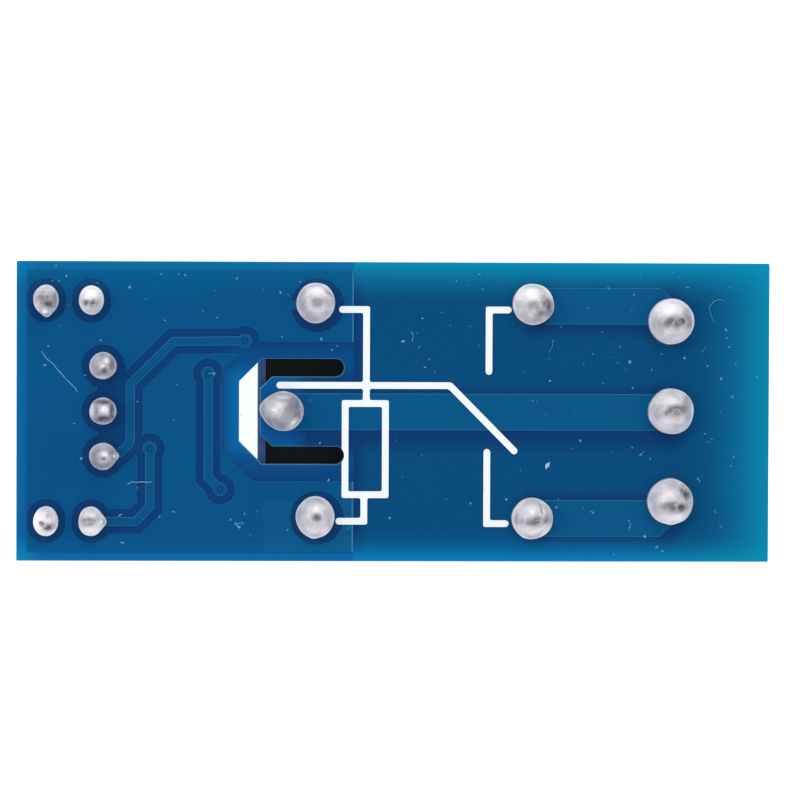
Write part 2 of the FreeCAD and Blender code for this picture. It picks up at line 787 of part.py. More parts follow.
def yoke_rivet_shank(grow):
    """The shank of the rivet through the spring's leg, or the hole that it stands in."""
    length = spring_thickness + 2 * yoke_rivet_play
    return end_profile(oval(0, pole_z + yoke_rivet_below_pivot, yoke_rivet_radius + grow), yoke_back - length,
                       yoke_back)


def build_yoke_rivets():
    """One rivet through the spring's leg, and one through the common strip."""
    head_x = yoke_back - spring_thickness - 2 * yoke_rivet_play
    head = end_profile(oval(0, pole_z + yoke_rivet_below_pivot, 2 * yoke_rivet_radius),
                       head_x - rivet_head_height, head_x)
    strip_back = yoke_back - strip_thickness
    strip_rivet = end_profile(oval(0, common_strip_top + common_strip_width / 2, rivet_head_radius),
                              strip_back - rivet_head_height, strip_back)
    return Part.makeCompound([join([yoke_rivet_shank(0.0), head]), strip_rivet])


# Heights in the terminal block, from the board's component side down to its top
strip_foot_z = seat - terminal_foot_thickness
cage_bottom_z = strip_foot_z - cage_play
wire_floor_z = cage_bottom_z - cage_floor
tongue_low_z = wire_floor_z - wire_space
tongue_high_z = tongue_low_z - tongue_thickness
roof_low_z = tongue_high_z - roof_above_tongue
cage_top_z = roof_low_z - cage_roof
head_low_z = cage_top_z - cage_travel - cage_play
head_high_z = head_low_z - screw_head_height
well_top_z = head_high_z - cage_play
housing_top_z = well_top_z - well_lip_height


def build_cage(y):
    left, right = terminal_x - cage_length / 2, terminal_x + cage_length / 2
    half, inside = cage_width / 2, cage_width / 2 - cage_side_wall
    block = box(left, right, y - half, y + half, cage_top_z, cage_bottom_z)
    space = box(left, right, y - inside, y + inside, roof_low_z, wire_floor_z)
    bore = cylinder(terminal_x, y, cage_top_z, roof_low_z, screw_radius + screw_bore_play)
    return block.cut(space).cut(bore)


def build_screw(y):
    shank = cylinder(terminal_x, y, head_low_z, tongue_high_z - screw_bore_play, screw_radius)
    head = cylinder(terminal_x, y, head_high_z, head_low_z, screw_head_radius)
    slot = box(terminal_x - screw_head_radius, terminal_x + screw_head_radius, y - screw_slot_width / 2,
               y + screw_slot_width / 2, head_high_z, head_high_z + screw_slot_depth)
    return join([shank, head]).cut(slot)


def terminal_strip(y):
    """The solder pin, its foot by the cage, its back, and the tongue that a wire is clamped against."""
    back = terminal_x - cage_length / 2 - cage_play - tongue_thickness
    front = terminal_x + cage_length / 2
    half = cage_width / 2 - cage_side_wall - tongue_side_play
    pin_half = terminal_pin_depth / 2
    outline = [(front, tongue_high_z), (back, tongue_high_z), (back, seat), (terminal_x + pin_half, seat),
               (terminal_x + pin_half, strip_foot_z), (back + tongue_thickness, strip_foot_z),
               (back + tongue_thickness, tongue_low_z), (front, tongue_low_z)]
    strip = side_profile(outline, y - half, y + half)
    pin = lead_bar(terminal_x, y, terminal_pin_depth, terminal_pin_width, seat,
                   terminal_joint_height + lead_tip_length)
    return join([strip, pin])


def build_terminal_housing():
    """One moulding: a cavity, a wire window and a screw well for each pole."""
    cavity_width = cage_width + cage_play
    length = terminal_pitch * (terminal_poles - 1) + cavity_width + 2 * terminal_end_wall
    shoulder_z = seat - terminal_shoulder
    outline = [(terminal_back, seat), (terminal_front, seat), (terminal_front, shoulder_z),
               (terminal_front - terminal_nose, housing_top_z), (terminal_back, housing_top_z)]
    block = side_profile(outline, -length / 2, length / 2)
    cavity_back = terminal_back + terminal_back_wall
    cavity_front = terminal_front - terminal_front_wall
    half, groove = cavity_width / 2, terminal_groove_width / 2
    cuts = []
    for y in terminal_ys:
        cuts.append(box(cavity_back, cavity_front, y - half, y + half, head_low_z - cage_play, seat))
        cuts.append(cylinder(terminal_x, y, well_top_z, head_low_z, screw_head_radius + well_play))
        cuts.append(cylinder(terminal_x, y, housing_top_z, head_high_z, screw_head_radius - well_lip_overlap))
        cuts.append(window(y))
    for y in [y + terminal_pitch / 2 for y in terminal_ys[:-1]]:
        cuts.append(plate([(terminal_front, y - groove), (terminal_front, y + groove),
                           (terminal_front - terminal_groove_depth, y)], shoulder_z, seat))
    return block.cut(Part.makeCompound(cuts))


def window(y):
    """A wire window that flares towards the front face."""
    low = wire_floor_z + window_below_floor
    high = low - window_height
    half = window_width / 2

    def ring(x, grow):
        return [Vector(x, y - half - grow, high - grow), Vector(x, y + half + grow, high - grow),
                Vector(x, y + half + grow, low + grow), Vector(x, y - half - grow, low + grow)]

    inner_x = terminal_front - window_flare_depth
    return stack([ring(terminal_front - terminal_front_wall, 0), ring(inner_x, 0),
                  ring(terminal_front, window_flare)])


def header_pins():
    pins = []
    low = seat - header_body_height - header_pin_free
    high = solder_face + header_joint_height + header_tip_length
    for y in header_ys:
        pin = square_bar(header_x, y, low, high, header_pin_width, header_pin_width)
        ends = [e for e in pin.Edges if e.BoundBox.ZLength < 1e-6]
        pins.append(pin.makeChamfer(header_pin_point, ends))
    return pins


def build_header_body(pins):
    half, inner = header_pitch / 2, header_pitch / 2 - header_body_corner
    corners = [(-half, -inner), (-inner, -half), (inner, -half), (half, -inner), (half, inner), (inner, half),
               (-inner, half), (-half, inner)]
    cells = [plate([(header_x + dx, y + dy) for dx, dy in corners], seat - header_body_height, seat)
             for y in header_ys]
    return join(cells).cut(Part.makeCompound(pins))


def led_leads(side):
    """Two leads that end inside the resin, the first under a wider anvil."""
    y, half, top = side * led_y, led_lead_width / 2, seat - led_lead_inside
    leads = [lead_bar(x, y, led_lead_width, led_lead_width, top, led_joint_height + lead_tip_length)
             for x in led_xs]
    anvil = box(led_xs[0] - half, led_xs[0] + led_anvil_length - half, y - half, y + half,
                top - led_anvil_height, top)
    return [join([leads[0], anvil]), leads[1]]


def build_led(side, leads):
    """A moulded lamp: flange with one flat, round body and domed end, closed round its leads."""
    y, flat = side * led_y, led_radius + led_flat_width
    flange_radius = led_radius + led_flange_width
    flange = rod(led_x, y, seat - led_flange_height, seat, flange_radius, ring_sides)
    flange = flange.cut(box(led_x + flat, led_x + 2 * flat, y - flange_radius, y + flange_radius,
                            seat - led_flange_height, seat))
    dome_z = seat - led_height + led_radius
    rings = []
    for degrees in (78, 55, 28, 0):
        angle = math.radians(degrees)
        rings.append([Vector(px, py, dome_z - led_radius * math.sin(angle)) for px, py in
                      oval(led_x, y, led_radius * math.cos(angle), sides=ring_sides)])
    rings.append([Vector(v.x, v.y, seat - led_flange_height) for v in rings[-1]])
    return join([flange, stack(rings)]).cut(Part.makeCompound(leads))


# Places of the surface-mounted parts
chip_places = [(small_parts_x, across(share))
               for share in (input_chip_y_share, upper_chip_y_share, lower_chip_y_share)]
transistor_y = across(transistor_y_share)
diode_y = across(diode_y_share)


def build_chip_bodies():
    return Part.makeCompound([square_bar(x, y, seat - chip_height, seat, chip_length - 2 * chip_cap_length,
                                         chip_width) for x, y in chip_places])


def build_chip_caps():
    """Metal ends, a little proud of the body that they wrap."""
    reach = (chip_length - chip_cap_length) / 2
    return Part.makeCompound([square_bar(x + side * reach, y, seat - chip_height - chip_cap_wrap, seat,
                                         chip_cap_length, chip_width + 2 * chip_cap_wrap)
                              for x, y in chip_places for side in (-1, 1)])


def moulded_body(x, y, length, width, z_top, z_low, draft):
    """A moulded block whose ends slope away from its waist."""
    half, waist = length / 2, (z_top + z_low) / 2
    outline = [(x - half + draft, z_low), (x + half - draft, z_low), (x + half, waist),
               (x + half - draft, z_top), (x - half + draft, z_top), (x - half, waist)]
    return side_profile(outline, y - width / 2, y + width / 2)


def build_transistor_body():
    low = seat - transistor_lift
    return moulded_body(small_parts_x, transistor_y, transistor_body_width, transistor_length,
                        low - transistor_height, low, transistor_draft)


def gull_wing(side, y):
    """A lead that leaves the body at mid height, drops and lands flat on its pad."""
    edge = small_parts_x + side * transistor_body_width / 2
    t, waist = transistor_lead_thickness, seat - transistor_lift - transistor_height / 2
    bend, toe = edge + side * transistor_lead_bend, edge + side * transistor_lead_reach
    outline = [(edge, waist - t / 2), (bend + side * t, waist - t / 2), (bend + side * t, seat - t),
               (toe, seat - t), (toe, seat), (bend, seat), (bend, waist + t / 2), (edge, waist + t / 2)]
    return side_profile(outline, y - transistor_lead_width / 2, y + transistor_lead_width / 2)


def build_transistor_leads():
    leads = [gull_wing(-1, transistor_y + side * transistor_lead_pitch) for side in (-1, 1)]
    body = build_transistor_body()
    return solids_of([lead.cut(body) for lead in leads + [gull_wing(1, transistor_y)]])


def build_diode_body():
    low = seat - diode_strap_thickness
    return moulded_body(small_parts_x, diode_y, diode_length, diode_width, low - diode_height, low, diode_draft)


def build_diode_terminals():
    """Straps bent down the ends and under the body."""
    straps = []
    t = diode_strap_thickness
    waist = seat - t - diode_height / 2
    for side in (-1, 1):
        inner = small_parts_x + side * diode_length / 2
        wall = inner + side * t
        toe = wall - side * diode_strap_foot
        outline = [(inner, waist), (wall, waist), (wall, seat), (toe, seat), (toe, seat - t), (inner, seat - t)]
        straps.append(side_profile(outline, diode_y - diode_strap_width / 2, diode_y + diode_strap_width / 2))
    return Part.makeCompound(straps)


def build_component_tracks():
    """Pads and tracks of the component side, which join the pins, the vias and the small parts."""
    z0, z1 = seat, component_face
    chip_reach = (chip_length - chip_cap_length) / 2
    chip_ends = [[(x - chip_reach, y), (x + chip_reach, y)] for x, y in chip_places]
    toe_reach = transistor_body_width / 2 + transistor_lead_reach - transistor_toe_on_pad
    base_pad = (small_parts_x - toe_reach, transistor_y + transistor_lead_pitch)
    emitter_pad = (small_parts_x - toe_reach, transistor_y - transistor_lead_pitch)
    collector_pad = (small_parts_x + toe_reach, transistor_y)
    diode_reach = diode_length / 2 - diode_strap_foot / 2 + diode_strap_thickness
    diode_ends = [(small_parts_x - diode_reach, diode_y), (small_parts_x + diode_reach, diode_y)]

    def chip_pad(place):
        return square_bar(place[0], place[1], z0, z1, chip_cap_length + 2 * chip_pad_margin,
                          chip_width + chip_pad_margin)

    def small_pad(place):
        return square_bar(place[0], place[1], z0, z1, transistor_pad_width, transistor_pad_width)

    def diode_pad(place):
        return square_bar(place[0], place[1], z0, z1, diode_strap_foot + 2 * diode_pad_margin,
                          diode_strap_width + 2 * diode_pad_margin)

    def via_pad(place):
        return rod(place[0], place[1], z0, z1, via_pad_radius)

    def track(*points):
        return plate(side_line(points, component_track_width / 2, False)
                     + side_line(points, -component_track_width / 2, False)[::-1], z0, z1)

    edge = board_width / 2 - edge_track_inset
    base_track_y = across(base_track_y_share)
    ground_far, ground_near = [along(share) for share in ground_bend_shares]
    exit_x = along(lower_chip_exit_share)
    nets = [
        [chip_pad(chip_ends[0][0]),
         track((header_x, header_ys[2]), (along(input_bend_share), chip_ends[0][0][1]), chip_ends[0][0])],
        [chip_pad(chip_ends[0][1]), small_pad(base_pad),
         track(chip_ends[0][1], (chip_ends[0][1][0], base_track_y), (base_pad[0], base_track_y), base_pad)],
        [small_pad(emitter_pad),
         track(emitter_pad, (ground_far, emitter_pad[1]), (ground_near, header_ys[0]),
               (header_x, header_ys[0]))],
        [small_pad(collector_pad), via_pad(via_c),
         track(collector_pad, (via_c[0], across(collector_bend_y_share)), via_c)],
        [chip_pad(chip_ends[1][0]), via_pad(via_b),
         track(via_b, (via_b[0], across(upper_chip_bend_y_share)), chip_ends[1][0])],
        [chip_pad(chip_ends[1][1]), via_pad(via_d),
         track(chip_ends[1][1], (along(upper_chip_exit_share), chip_ends[1][1][1]), via_d)],
        [diode_pad(diode_ends[1]), via_pad(via_a),
         track(diode_ends[1], (via_a[0], across(diode_bend_y_share)), via_a)],
        [diode_pad(diode_ends[0]),
         track(diode_ends[0], (diode_ends[0][0], edge), (led_xs[1], edge), (led_xs[1], led_y))],
        [chip_pad(chip_ends[2][0]),
         track(chip_ends[2][0], (along(lower_chip_bend_share), chip_ends[2][0][1]), (led_xs[1], -led_y))],
        [chip_pad(chip_ends[2][1]),
         track(chip_ends[2][1], (exit_x, chip_ends[2][1][1]), (exit_x, -edge), (led_xs[0], -edge),
               (led_xs[0], -led_y))],
    ]
    holes = Part.makeCompound(lead_holes(z0, z1))
    return solids_of([join(net).cut(holes) for net in nets])


def build_component_legend(tracks):
    """Fine outlines printed round the header and the lamps."""
    z0, z1 = seat, component_face
    half_x, half_y = header_pitch / 2 + legend_ring_gap, header_pitch * header_pins_count / 2 + legend_ring_gap
    drawn = [loop([(header_x - half_x, -half_y), (header_x + half_x, -half_y), (header_x + half_x, half_y),
                   (header_x - half_x, half_y)], fine_legend_width, z0, z1)]
    ring_radius = led_radius + led_flange_width + legend_ring_gap
    for side in (-1, 1):
        drawn.append(loop(oval(led_x, side * led_y, ring_radius, sides=ring_sides), fine_legend_width, z0, z1))
    return solids_of([join(drawn).cut(tracks)])


def build_all():
    nodes = {}
    pins_coil = coil_pins()
    common = common_terminal()
    open_strip = contact_terminal(1, no_arm_z)
    closed_strip = contact_terminal(-1, nc_arm_z)
    strips = [terminal_strip(y) for y in terminal_ys]
    pins_header = header_pins()
    power_leads, status_leads = led_leads(1), led_leads(-1)
    rivets = armature_rivets()
    contact = moving_contact()
    pour, signals, contacts = build_pour(), build_signal_tracks(), build_contact_tracks()
    component_tracks = build_component_tracks()

    nodes["board_laminate"] = build_laminate()
    nodes["copper_pour"] = pour
    nodes["signal_tracks"] = signals
    nodes["contact_tracks"] = contacts
    nodes["solder_side_legend"] = build_solder_legend([pour, signals, contacts])
    nodes["component_side_tracks"] = component_tracks
    nodes["component_side_legend"] = build_component_legend(component_tracks)

    nodes["relay_case"] = build_relay_case()
    nodes["relay_base"] = build_relay_base(pins_coil + [common, open_strip, closed_strip])
    nodes["relay_bobbin"] = build_bobbin(pins_coil)
    nodes["relay_winding"] = build_winding()
    nodes["relay_core"] = build_core()
    nodes["relay_yoke"] = build_yoke()
    nodes["relay_armature"] = build_armature(rivets)
    nodes["relay_spring"] = build_spring(rivets + [contact])
    nodes["armature_rivets"] = Part.makeCompound(rivets)
    nodes["moving_contact"] = contact
    nodes["yoke_rivets"] = build_yoke_rivets()
    nodes["common_strip"] = common
    nodes["open_contact_strip"] = open_strip
    nodes["open_contact"] = fixed_contact(no_face_z, no_arm_z)
    nodes["closed_contact_strip"] = closed_strip
    nodes["closed_contact"] = fixed_contact(nc_arm_z + strip_thickness,
                                            nc_arm_z + strip_thickness + fixed_button_height)
    nodes["coil_pins"] = Part.makeCompound(pins_coil)

    nodes["terminal_housing"] = build_terminal_housing()
    nodes["terminal_strips"] = Part.makeCompound(strips)
    for number, y in enumerate(terminal_ys, 1):
        nodes["clamp_cage_%d" % number] = build_cage(y)
        nodes["clamp_screw_%d" % number] = build_screw(y)

    nodes["header_body"] = build_header_body(pins_header)
    nodes["header_pins"] = Part.makeCompound(pins_header)
    nodes["power_led"] = build_led(1, power_leads)
    nodes["power_led_leads"] = Part.makeCompound(power_leads)
    nodes["status_led"] = build_led(-1, status_leads)
    nodes["status_led_leads"] = Part.makeCompound(status_leads)

    nodes["transistor_body"] = build_transistor_body()
    nodes["transistor_leads"] = build_transistor_leads()
    nodes["diode_body"] = build_diode_body()
    nodes["diode_terminals"] = build_diode_terminals()
    nodes["chip_resistors"] = build_chip_bodies()
    nodes["chip_end_caps"] = build_chip_caps()

    leads = {"terminal": strips, "contact": [open_strip, closed_strip], "coil": pins_coil, "common": [common],
             "header": pins_header, "led": power_leads + status_leads}
    for group, rows in joint_rows().items():
        nodes["%s_solder" % group] = solder_joints(rows, leads[group])
    return nodes


def main():
    os.makedirs("parts", exist_ok=True)
    for name, shape in build_all().items():
        shape.exportStep("parts/%s.step" % name)
        bounds = shape.BoundBox
        print("%-24s %2d solids  %9.3f mm3  valid %s  z %.2f..%.2f" % (
            name, len(shape.Solids), shape.Volume, shape.isValid(), bounds.ZMin, bounds.ZMax))
    print("board %.3f x %.3f, relay %.3f x %.3f, terminal top %.3f" % (
        board_length, board_width, relay_length, relay_width, housing_top_z))
    print("pivot %.5f %.5f, armature angle %.4f, cage travel %.3f, terminal front %.3f, pins at %.3f" % (
        yoke_back, pole_z, math.degrees(armature_tilt), cage_travel, terminal_front, terminal_x))


main()
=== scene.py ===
import bpy
import bmesh
import math
import random
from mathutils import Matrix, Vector, noise


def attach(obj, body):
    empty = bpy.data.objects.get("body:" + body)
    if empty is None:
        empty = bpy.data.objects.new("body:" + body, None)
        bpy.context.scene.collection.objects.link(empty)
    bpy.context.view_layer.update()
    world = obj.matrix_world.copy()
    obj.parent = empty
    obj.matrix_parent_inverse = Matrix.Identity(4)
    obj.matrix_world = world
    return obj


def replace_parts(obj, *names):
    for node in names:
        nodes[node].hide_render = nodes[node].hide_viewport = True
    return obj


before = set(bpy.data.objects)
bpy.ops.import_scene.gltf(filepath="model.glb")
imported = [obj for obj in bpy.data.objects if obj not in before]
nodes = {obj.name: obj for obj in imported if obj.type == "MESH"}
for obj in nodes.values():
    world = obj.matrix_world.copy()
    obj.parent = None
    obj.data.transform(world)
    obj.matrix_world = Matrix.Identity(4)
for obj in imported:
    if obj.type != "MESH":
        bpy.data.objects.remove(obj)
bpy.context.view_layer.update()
mm = 0.001
print("frame loaded,", len(nodes), "CAD nodes")


def linearColour(hexText):
    # sRGB hex to the linear values that the shader wants
    channels = [int(hexText[i:i + 2], 16) / 255 for i in (1, 3, 5)]
    return tuple(c / 12.92 if c <= 0.04045 else ((c + 0.055) / 1.055) ** 2.4 for c in channels) + (1.0,)


def shaded(hexText, share):
    # the same colour darker, or paler where the share is over 1
    channels = [int(hexText[i:i + 2], 16) for i in (1, 3, 5)]
    if share > 1:
        channels = [255 - (255 - c) * (2 - share) for c in channels]
    else:
        channels = [c * share for c in channels]
    return "#" + "".join("%02x" % int(c) for c in channels)


def addNode(tree, kind, inputs=None, output=0, **settings):
    # an input is a number, a vector, hex text for a colour, or another node's output
    node = tree.nodes.new(kind)
    for name, setting in settings.items():
        setattr(node, name, setting)
    for socket, value in (inputs or {}).items():
        if isinstance(value, bpy.types.NodeSocket):
            tree.links.new(value, node.inputs[socket])
        else:
            node.inputs[socket].default_value = linearColour(value) if isinstance(value, str) else value
    return node.outputs[output] if len(node.outputs) else node


def newMaterial(name):
    # an empty material, its node tree, and the place on the object in metres
    material = bpy.data.materials.new(name)
    material.use_nodes = True
    tree = material.node_tree
    tree.nodes.clear()
    return material, tree, addNode(tree, "ShaderNodeTexCoord", output="Object")


def finishMaterial(tree, inputs):
    # constants go on the shader's own sockets, and only what varies is linked
    shader = addNode(tree, "ShaderNodeBsdfPrincipled", inputs)
    addNode(tree, "ShaderNodeOutputMaterial", {"Surface": shader})


def patches(tree, point, size, low, high, detail=2.0, spread=(0.3, 0.7)):
    # soft irregular patches; size is the width of one of them in metres
    cloud = addNode(tree, "ShaderNodeTexNoise", {"Vector": point, "Scale": 1 / size, "Detail": detail})
    return addNode(tree, "ShaderNodeMapRange", {0: cloud, 1: spread[0], 2: spread[1], 3: low, 4: high})


def nearBox(tree, point, centre, half, inner, outer, strength=1.0, power=1.0):
    # full strength up to a distance from a box seen from above, fading to none farther out, all in millimetres
    away = addNode(tree, "ShaderNodeVectorMath", {0: point, 1: (centre[0] * mm, centre[1] * mm, 0)},
                   operation="SUBTRACT")
    folded = addNode(tree, "ShaderNodeVectorMath", {0: away}, operation="ABSOLUTE")
    beyond = addNode(tree, "ShaderNodeVectorMath", {0: folded, 1: (half[0] * mm, half[1] * mm, 1)},
                     operation="SUBTRACT")
    outside = addNode(tree, "ShaderNodeVectorMath", {0: beyond, 1: (0, 0, 0)}, operation="MAXIMUM")
    distance = addNode(tree, "ShaderNodeVectorMath", {0: outside}, 1, operation="LENGTH")
    nearness = addNode(tree, "ShaderNodeMapRange", {0: distance, 1: inner * mm, 2: outer * mm, 3: 1.0, 4: 0.0})
    curved = addNode(tree, "ShaderNodeMath", {0: nearness, 1: power}, operation="POWER")
    return addNode(tree, "ShaderNodeMath", {0: curved, 1: strength}, operation="MULTIPLY")


def layered(tree, colour, layers):
    # each layer is laid over the colour so far, as thickly as its share says
    for share, over in layers:
        colour = addNode(tree, "ShaderNodeMix", {0: share, 6: colour, 7: over}, 2, data_type="RGBA")
    return colour


def dress(material, *names):
    for name in names:
        slots = nodes[name].data.materials
        if len(slots):
            nodes[name].material_slots[0].material = material
        else:
            slots.append(material)


def newPiece(name, mesh, material, body="board", smooth=True):
    piece = bpy.data.objects.new(name, mesh)
    bpy.context.scene.collection.objects.link(piece)
    mesh.materials.clear()
    mesh.materials.append(material)
    mesh.polygons.foreach_set("use_smooth", [smooth] * len(mesh.polygons))
    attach(piece, body)
    return piece


def cleanedForm(nodeName):
    # the CAD solid's mesh with its flat faces made whole again
    form = bmesh.new()
    form.from_mesh(nodes[nodeName].data)
    bmesh.ops.remove_doubles(form, verts=form.verts, dist=1e-7)
    bmesh.ops.dissolve_limit(form, angle_limit=math.radians(0.5), verts=form.verts, edges=form.edges)
    return form


def meshFrom(form, name):
    mesh = bpy.data.meshes.new(name)
    form.to_mesh(mesh)
    form.free()
    return mesh


def softenedCopy(nodeName, name, material, width, segments=2, body="board", smooth=True):
    # the CAD solid again with its edges rounded, which then stands for it
    piece = newPiece(name, meshFrom(cleanedForm(nodeName), name), material, body, smooth)
    bevel = piece.modifiers.new("roundedEdges", "BEVEL")
    bevel.width = width
    bevel.segments = segments
    bevel.limit_method = "ANGLE"
    bevel.angle_limit = math.radians(30)
    if smooth:   # keeps the large faces flat in the light
        flatten = piece.modifiers.new("flatFaces", "WEIGHTED_NORMAL")
        flatten.mode = "FACE_AREA"
        flatten.weight = 50
    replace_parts(piece, nodeName)


maskLook = {
    "halfLength": 21.25, "halfWidth": 8.45,
    "pourRight": -2.27,        # where the copper pour of the header end stops, in millimetres
    # how far each edge's glow reaches in, in millimetres, its strength and how fast it fades
    "glowTop": (2.5, 0.96, 1.9), "glowBottom": (2.0, 0.87, 2.2),
    "glowRight": (4.7, 0.84, 1.9), "glowLeft": (0.9, 0.6, 1.2),
    "pourBlend": 0.02 * mm,    # how softly the looks of the two ends meet
    "overLaminate": "#054d7d", "overMoat": "#0a3f76", "besideTracks": "#0a3b70", "keepOut": "#074e88",
    "slotEdgeGlow": "#0569a8", "tongueGlow": "#07589a", "leftStrip": "#0b5d9b",
    "edgeGlow": "#0592ba", "edgeGlowLow": "#0588cb",
    "overPour": "#04568a", "overPourFar": "#055286", "overPourLow": "#0a5a8a", "overTracks": "#065888",
    "thinInkAndHighlight": "#4f93b4", "paleEdgeTint": "#5d9fc6", "core": "#b3b38f", "coreDark": "#a1a585",
    "viaRing": "#07406f", "viaFloor": "#14618f",
    "roughness": 0.26, "specular": 0.055,
    "glassPlies": 0.18 * mm,   # the thickness of one ply of glass cloth
    "lump": 1.5 * mm, "grain": 0.12 * mm,   # the ink's real grain is under 0.05 mm, drawn coarser so that it shows
}


def edgeGlow(tree, x, y):
    # painted glow: light that enters through the cut edges, painted as a paler mask beside them; four sides screened
    # together
    look = maskLook
    length, width = look["halfLength"] * mm, look["halfWidth"] * mm
    dark = None
    for axis, edge, side in ((y, width, "glowTop"), (y, -width, "glowBottom"),
                             (x, length, "glowRight"), (x, -length, "glowLeft")):
        reach, strength, power = look[side]
        start = edge - math.copysign(reach * mm, edge)
        rising = addNode(tree, "ShaderNodeMapRange", {0: axis, 1: start, 2: edge, 3: 0.0, 4: 1.0})
        curved = addNode(tree, "ShaderNodeMath", {0: rising, 1: power}, operation="POWER")
        scaled = addNode(tree, "ShaderNodeMath", {0: curved, 1: strength}, operation="MULTIPLY")
        rest = addNode(tree, "ShaderNodeMath", {0: 1.0, 1: scaled}, operation="SUBTRACT")
        dark = rest if dark is None else addNode(tree, "ShaderNodeMath", {0: dark, 1: rest}, operation="MULTIPLY")
    return addNode(tree, "ShaderNodeMath", {0: 1.0, 1: dark}, operation="SUBTRACT")


def uprightness(tree):
    # how far a face looks straight up or down, 0 to 1
    normal = addNode(tree, "ShaderNodeNewGeometry", output="Normal")
    upward = addNode(tree, "ShaderNodeSeparateXYZ", {0: normal}, 2)
    return addNode(tree, "ShaderNodeMath", {0: upward}, operation="ABSOLUTE")


def finishMask(tree, point, colour):
    # printed ink: a slow unevenness and a fine grain under a glossy skin
    look = maskLook
    grain = addNode(tree, "ShaderNodeTexNoise", {"Vector": point, "Scale": 1 / look["grain"], "Detail": 3.0})
    finishMaterial(tree, {
        "Base Color": colour, "IOR": 1.5, "Specular IOR Level": look["specular"],
        "Roughness": patches(tree, point, look["lump"], look["roughness"] - 0.04, look["roughness"] + 0.06),
        "Normal": addNode(tree, "ShaderNodeBump", {"Height": grain, "Distance": 0.004 * mm, "Strength": 0.5})})


# Solder-mask-coated FR4: a printed glossy ink on glass-fibre laminate; deep blue, with a painted glow at the cut
# edges
laminate, tree, point = newMaterial("solderMaskOnFR4")
x = addNode(tree, "ShaderNodeSeparateXYZ", {0: point}, 0)
y = addNode(tree, "ShaderNodeSeparateXYZ", {0: point}, 1)
pourEnd, blend = maskLook["pourRight"] * mm, maskLook["pourBlend"]
leftPart = addNode(tree, "ShaderNodeMapRange", {0: x, 1: pourEnd - blend, 2: pourEnd + blend, 3: 1.0, 4: 0.0})
colour = maskLook["overLaminate"]
besideCopper = [   # darker beside the copper, with painted shade widening the band on the lower side: centre and half size of each track, then the shade's reach
    ((11.8, 5.88), (3.9, 1.0), 0.8), ((6.5, -0.3), (9.2, 1.1), 1.05),
    ((11.8, -6.12), (3.9, 1.0), 0.8), ((-2.3, 0), (0.1, 9), 0.75),
]
for centre, half, outer in besideCopper:
    band = nearBox(tree, point, centre, half, 0.1, outer, 0.95)
    colour = layered(tree, colour, [(band, maskLook["besideTracks"])])
colour = layered(tree, colour, [(leftPart, maskLook["overMoat"])])
around = [   # centre and half size of each place of the header end, its near and far reach, power and colour
    ((-5.2, 0), (3.5, 2.9), 0.0, 1.25, 1.0, "keepOut"),
    # painted glow of light through the slot's edges, beside the slot and on the tongue
    ((-6.9, 0), (1.9, 1.75), 0.1, 1.15, 1.3, "slotEdgeGlow"),
    ((-6.6, 0), (1.2, 1.6), 0.1, 1.2, 1.0, "tongueGlow"),
    ((-3.5, -0.1), (1.3, 1.6), 0.1, 1.1, 1.0, "besideTracks"),
]
for centre, half, inner, outer, power, name in around:
    here = nearBox(tree, point, centre, half, inner, outer, 1.0, power)
    here = addNode(tree, "ShaderNodeMath", {0: here, 1: leftPart}, operation="MULTIPLY")
    colour = layered(tree, colour, [(here, maskLook[name])])
inside = nearBox(tree, point, (-11.45, 0), (9.2, 7.93), 0.0, 0.04)   # the pour, inside its bare border
strip = addNode(tree, "ShaderNodeMath", {0: leftPart, 1: inside}, operation="SUBTRACT", use_clamp=True)
# painted glow of light through the cut edges, a third as strong at the header end
shine = addNode(tree, "ShaderNodeMapRange", {0: leftPart, 1: 0.0, 2: 1.0, 3: 1.0, 4: 0.33})
shine = addNode(tree, "ShaderNodeMath", {0: shine, 1: edgeGlow(tree, x, y)}, operation="MULTIPLY")
lowSide = addNode(tree, "ShaderNodeMapRange", {0: y, 1: -4 * mm, 2: -8 * mm, 3: 0.0, 4: 1.0})
farRight = addNode(tree, "ShaderNodeMapRange", {0: x, 1: 12 * mm, 2: 18 * mm, 3: 0.0, 4: 1.0})
lowSide = addNode(tree, "ShaderNodeMath", {0: lowSide, 1: farRight}, operation="SUBTRACT", use_clamp=True)
glowColour = layered(tree, maskLook["edgeGlow"], [(lowSide, maskLook["edgeGlowLow"])])
flat = uprightness(tree)
# painted highlight on the rounded top edges, together with the paler chipped ink there
chippedAndHighlit = addNode(tree, "ShaderNodeMapRange", {0: flat, 1: 0.99, 2: 0.93, 3: 0.0, 4: 0.8})
isCut = addNode(tree, "ShaderNodeMapRange", {0: flat, 1: 0.3, 2: 0.5, 3: 1.0, 4: 0.0})
weave = addNode(tree, "ShaderNodeTexWave", {"Vector": point, "Scale": 0.5 / maskLook["glassPlies"] / math.pi,
                                            "Distortion": 0.6}, bands_direction="Z")
slotWall = nearBox(tree, point, (-5.2, 0), (3.5, 2.9), 0.0, 0.4, 0.75)   # the milled walls near the slot tinted pale blue
core = layered(tree, maskLook["core"], [(weave, maskLook["coreDark"]), (slotWall, maskLook["paleEdgeTint"])])
lowCorner = nearBox(tree, point, (-21.2, -8.4), (0.1, 0.1), 0.0, 1.3, 0.7)   # both corners of the header end glow
highCorner = nearBox(tree, point, (-21.2, 8.4), (0.1, 0.1), 0.0, 1.1, 0.5)
colour = layered(tree, colour, [
    (strip, maskLook["leftStrip"]), (shine, glowColour), (lowCorner, maskLook["edgeGlow"]),
    (highCorner, maskLook["edgeGlowLow"]), (chippedAndHighlit, maskLook["paleEdgeTint"]), (isCut, core)])
finishMask(tree, point, colour)
softenedCopy("board_laminate", "routedLaminate", laminate, 0.06 * mm, 3, smooth=False)
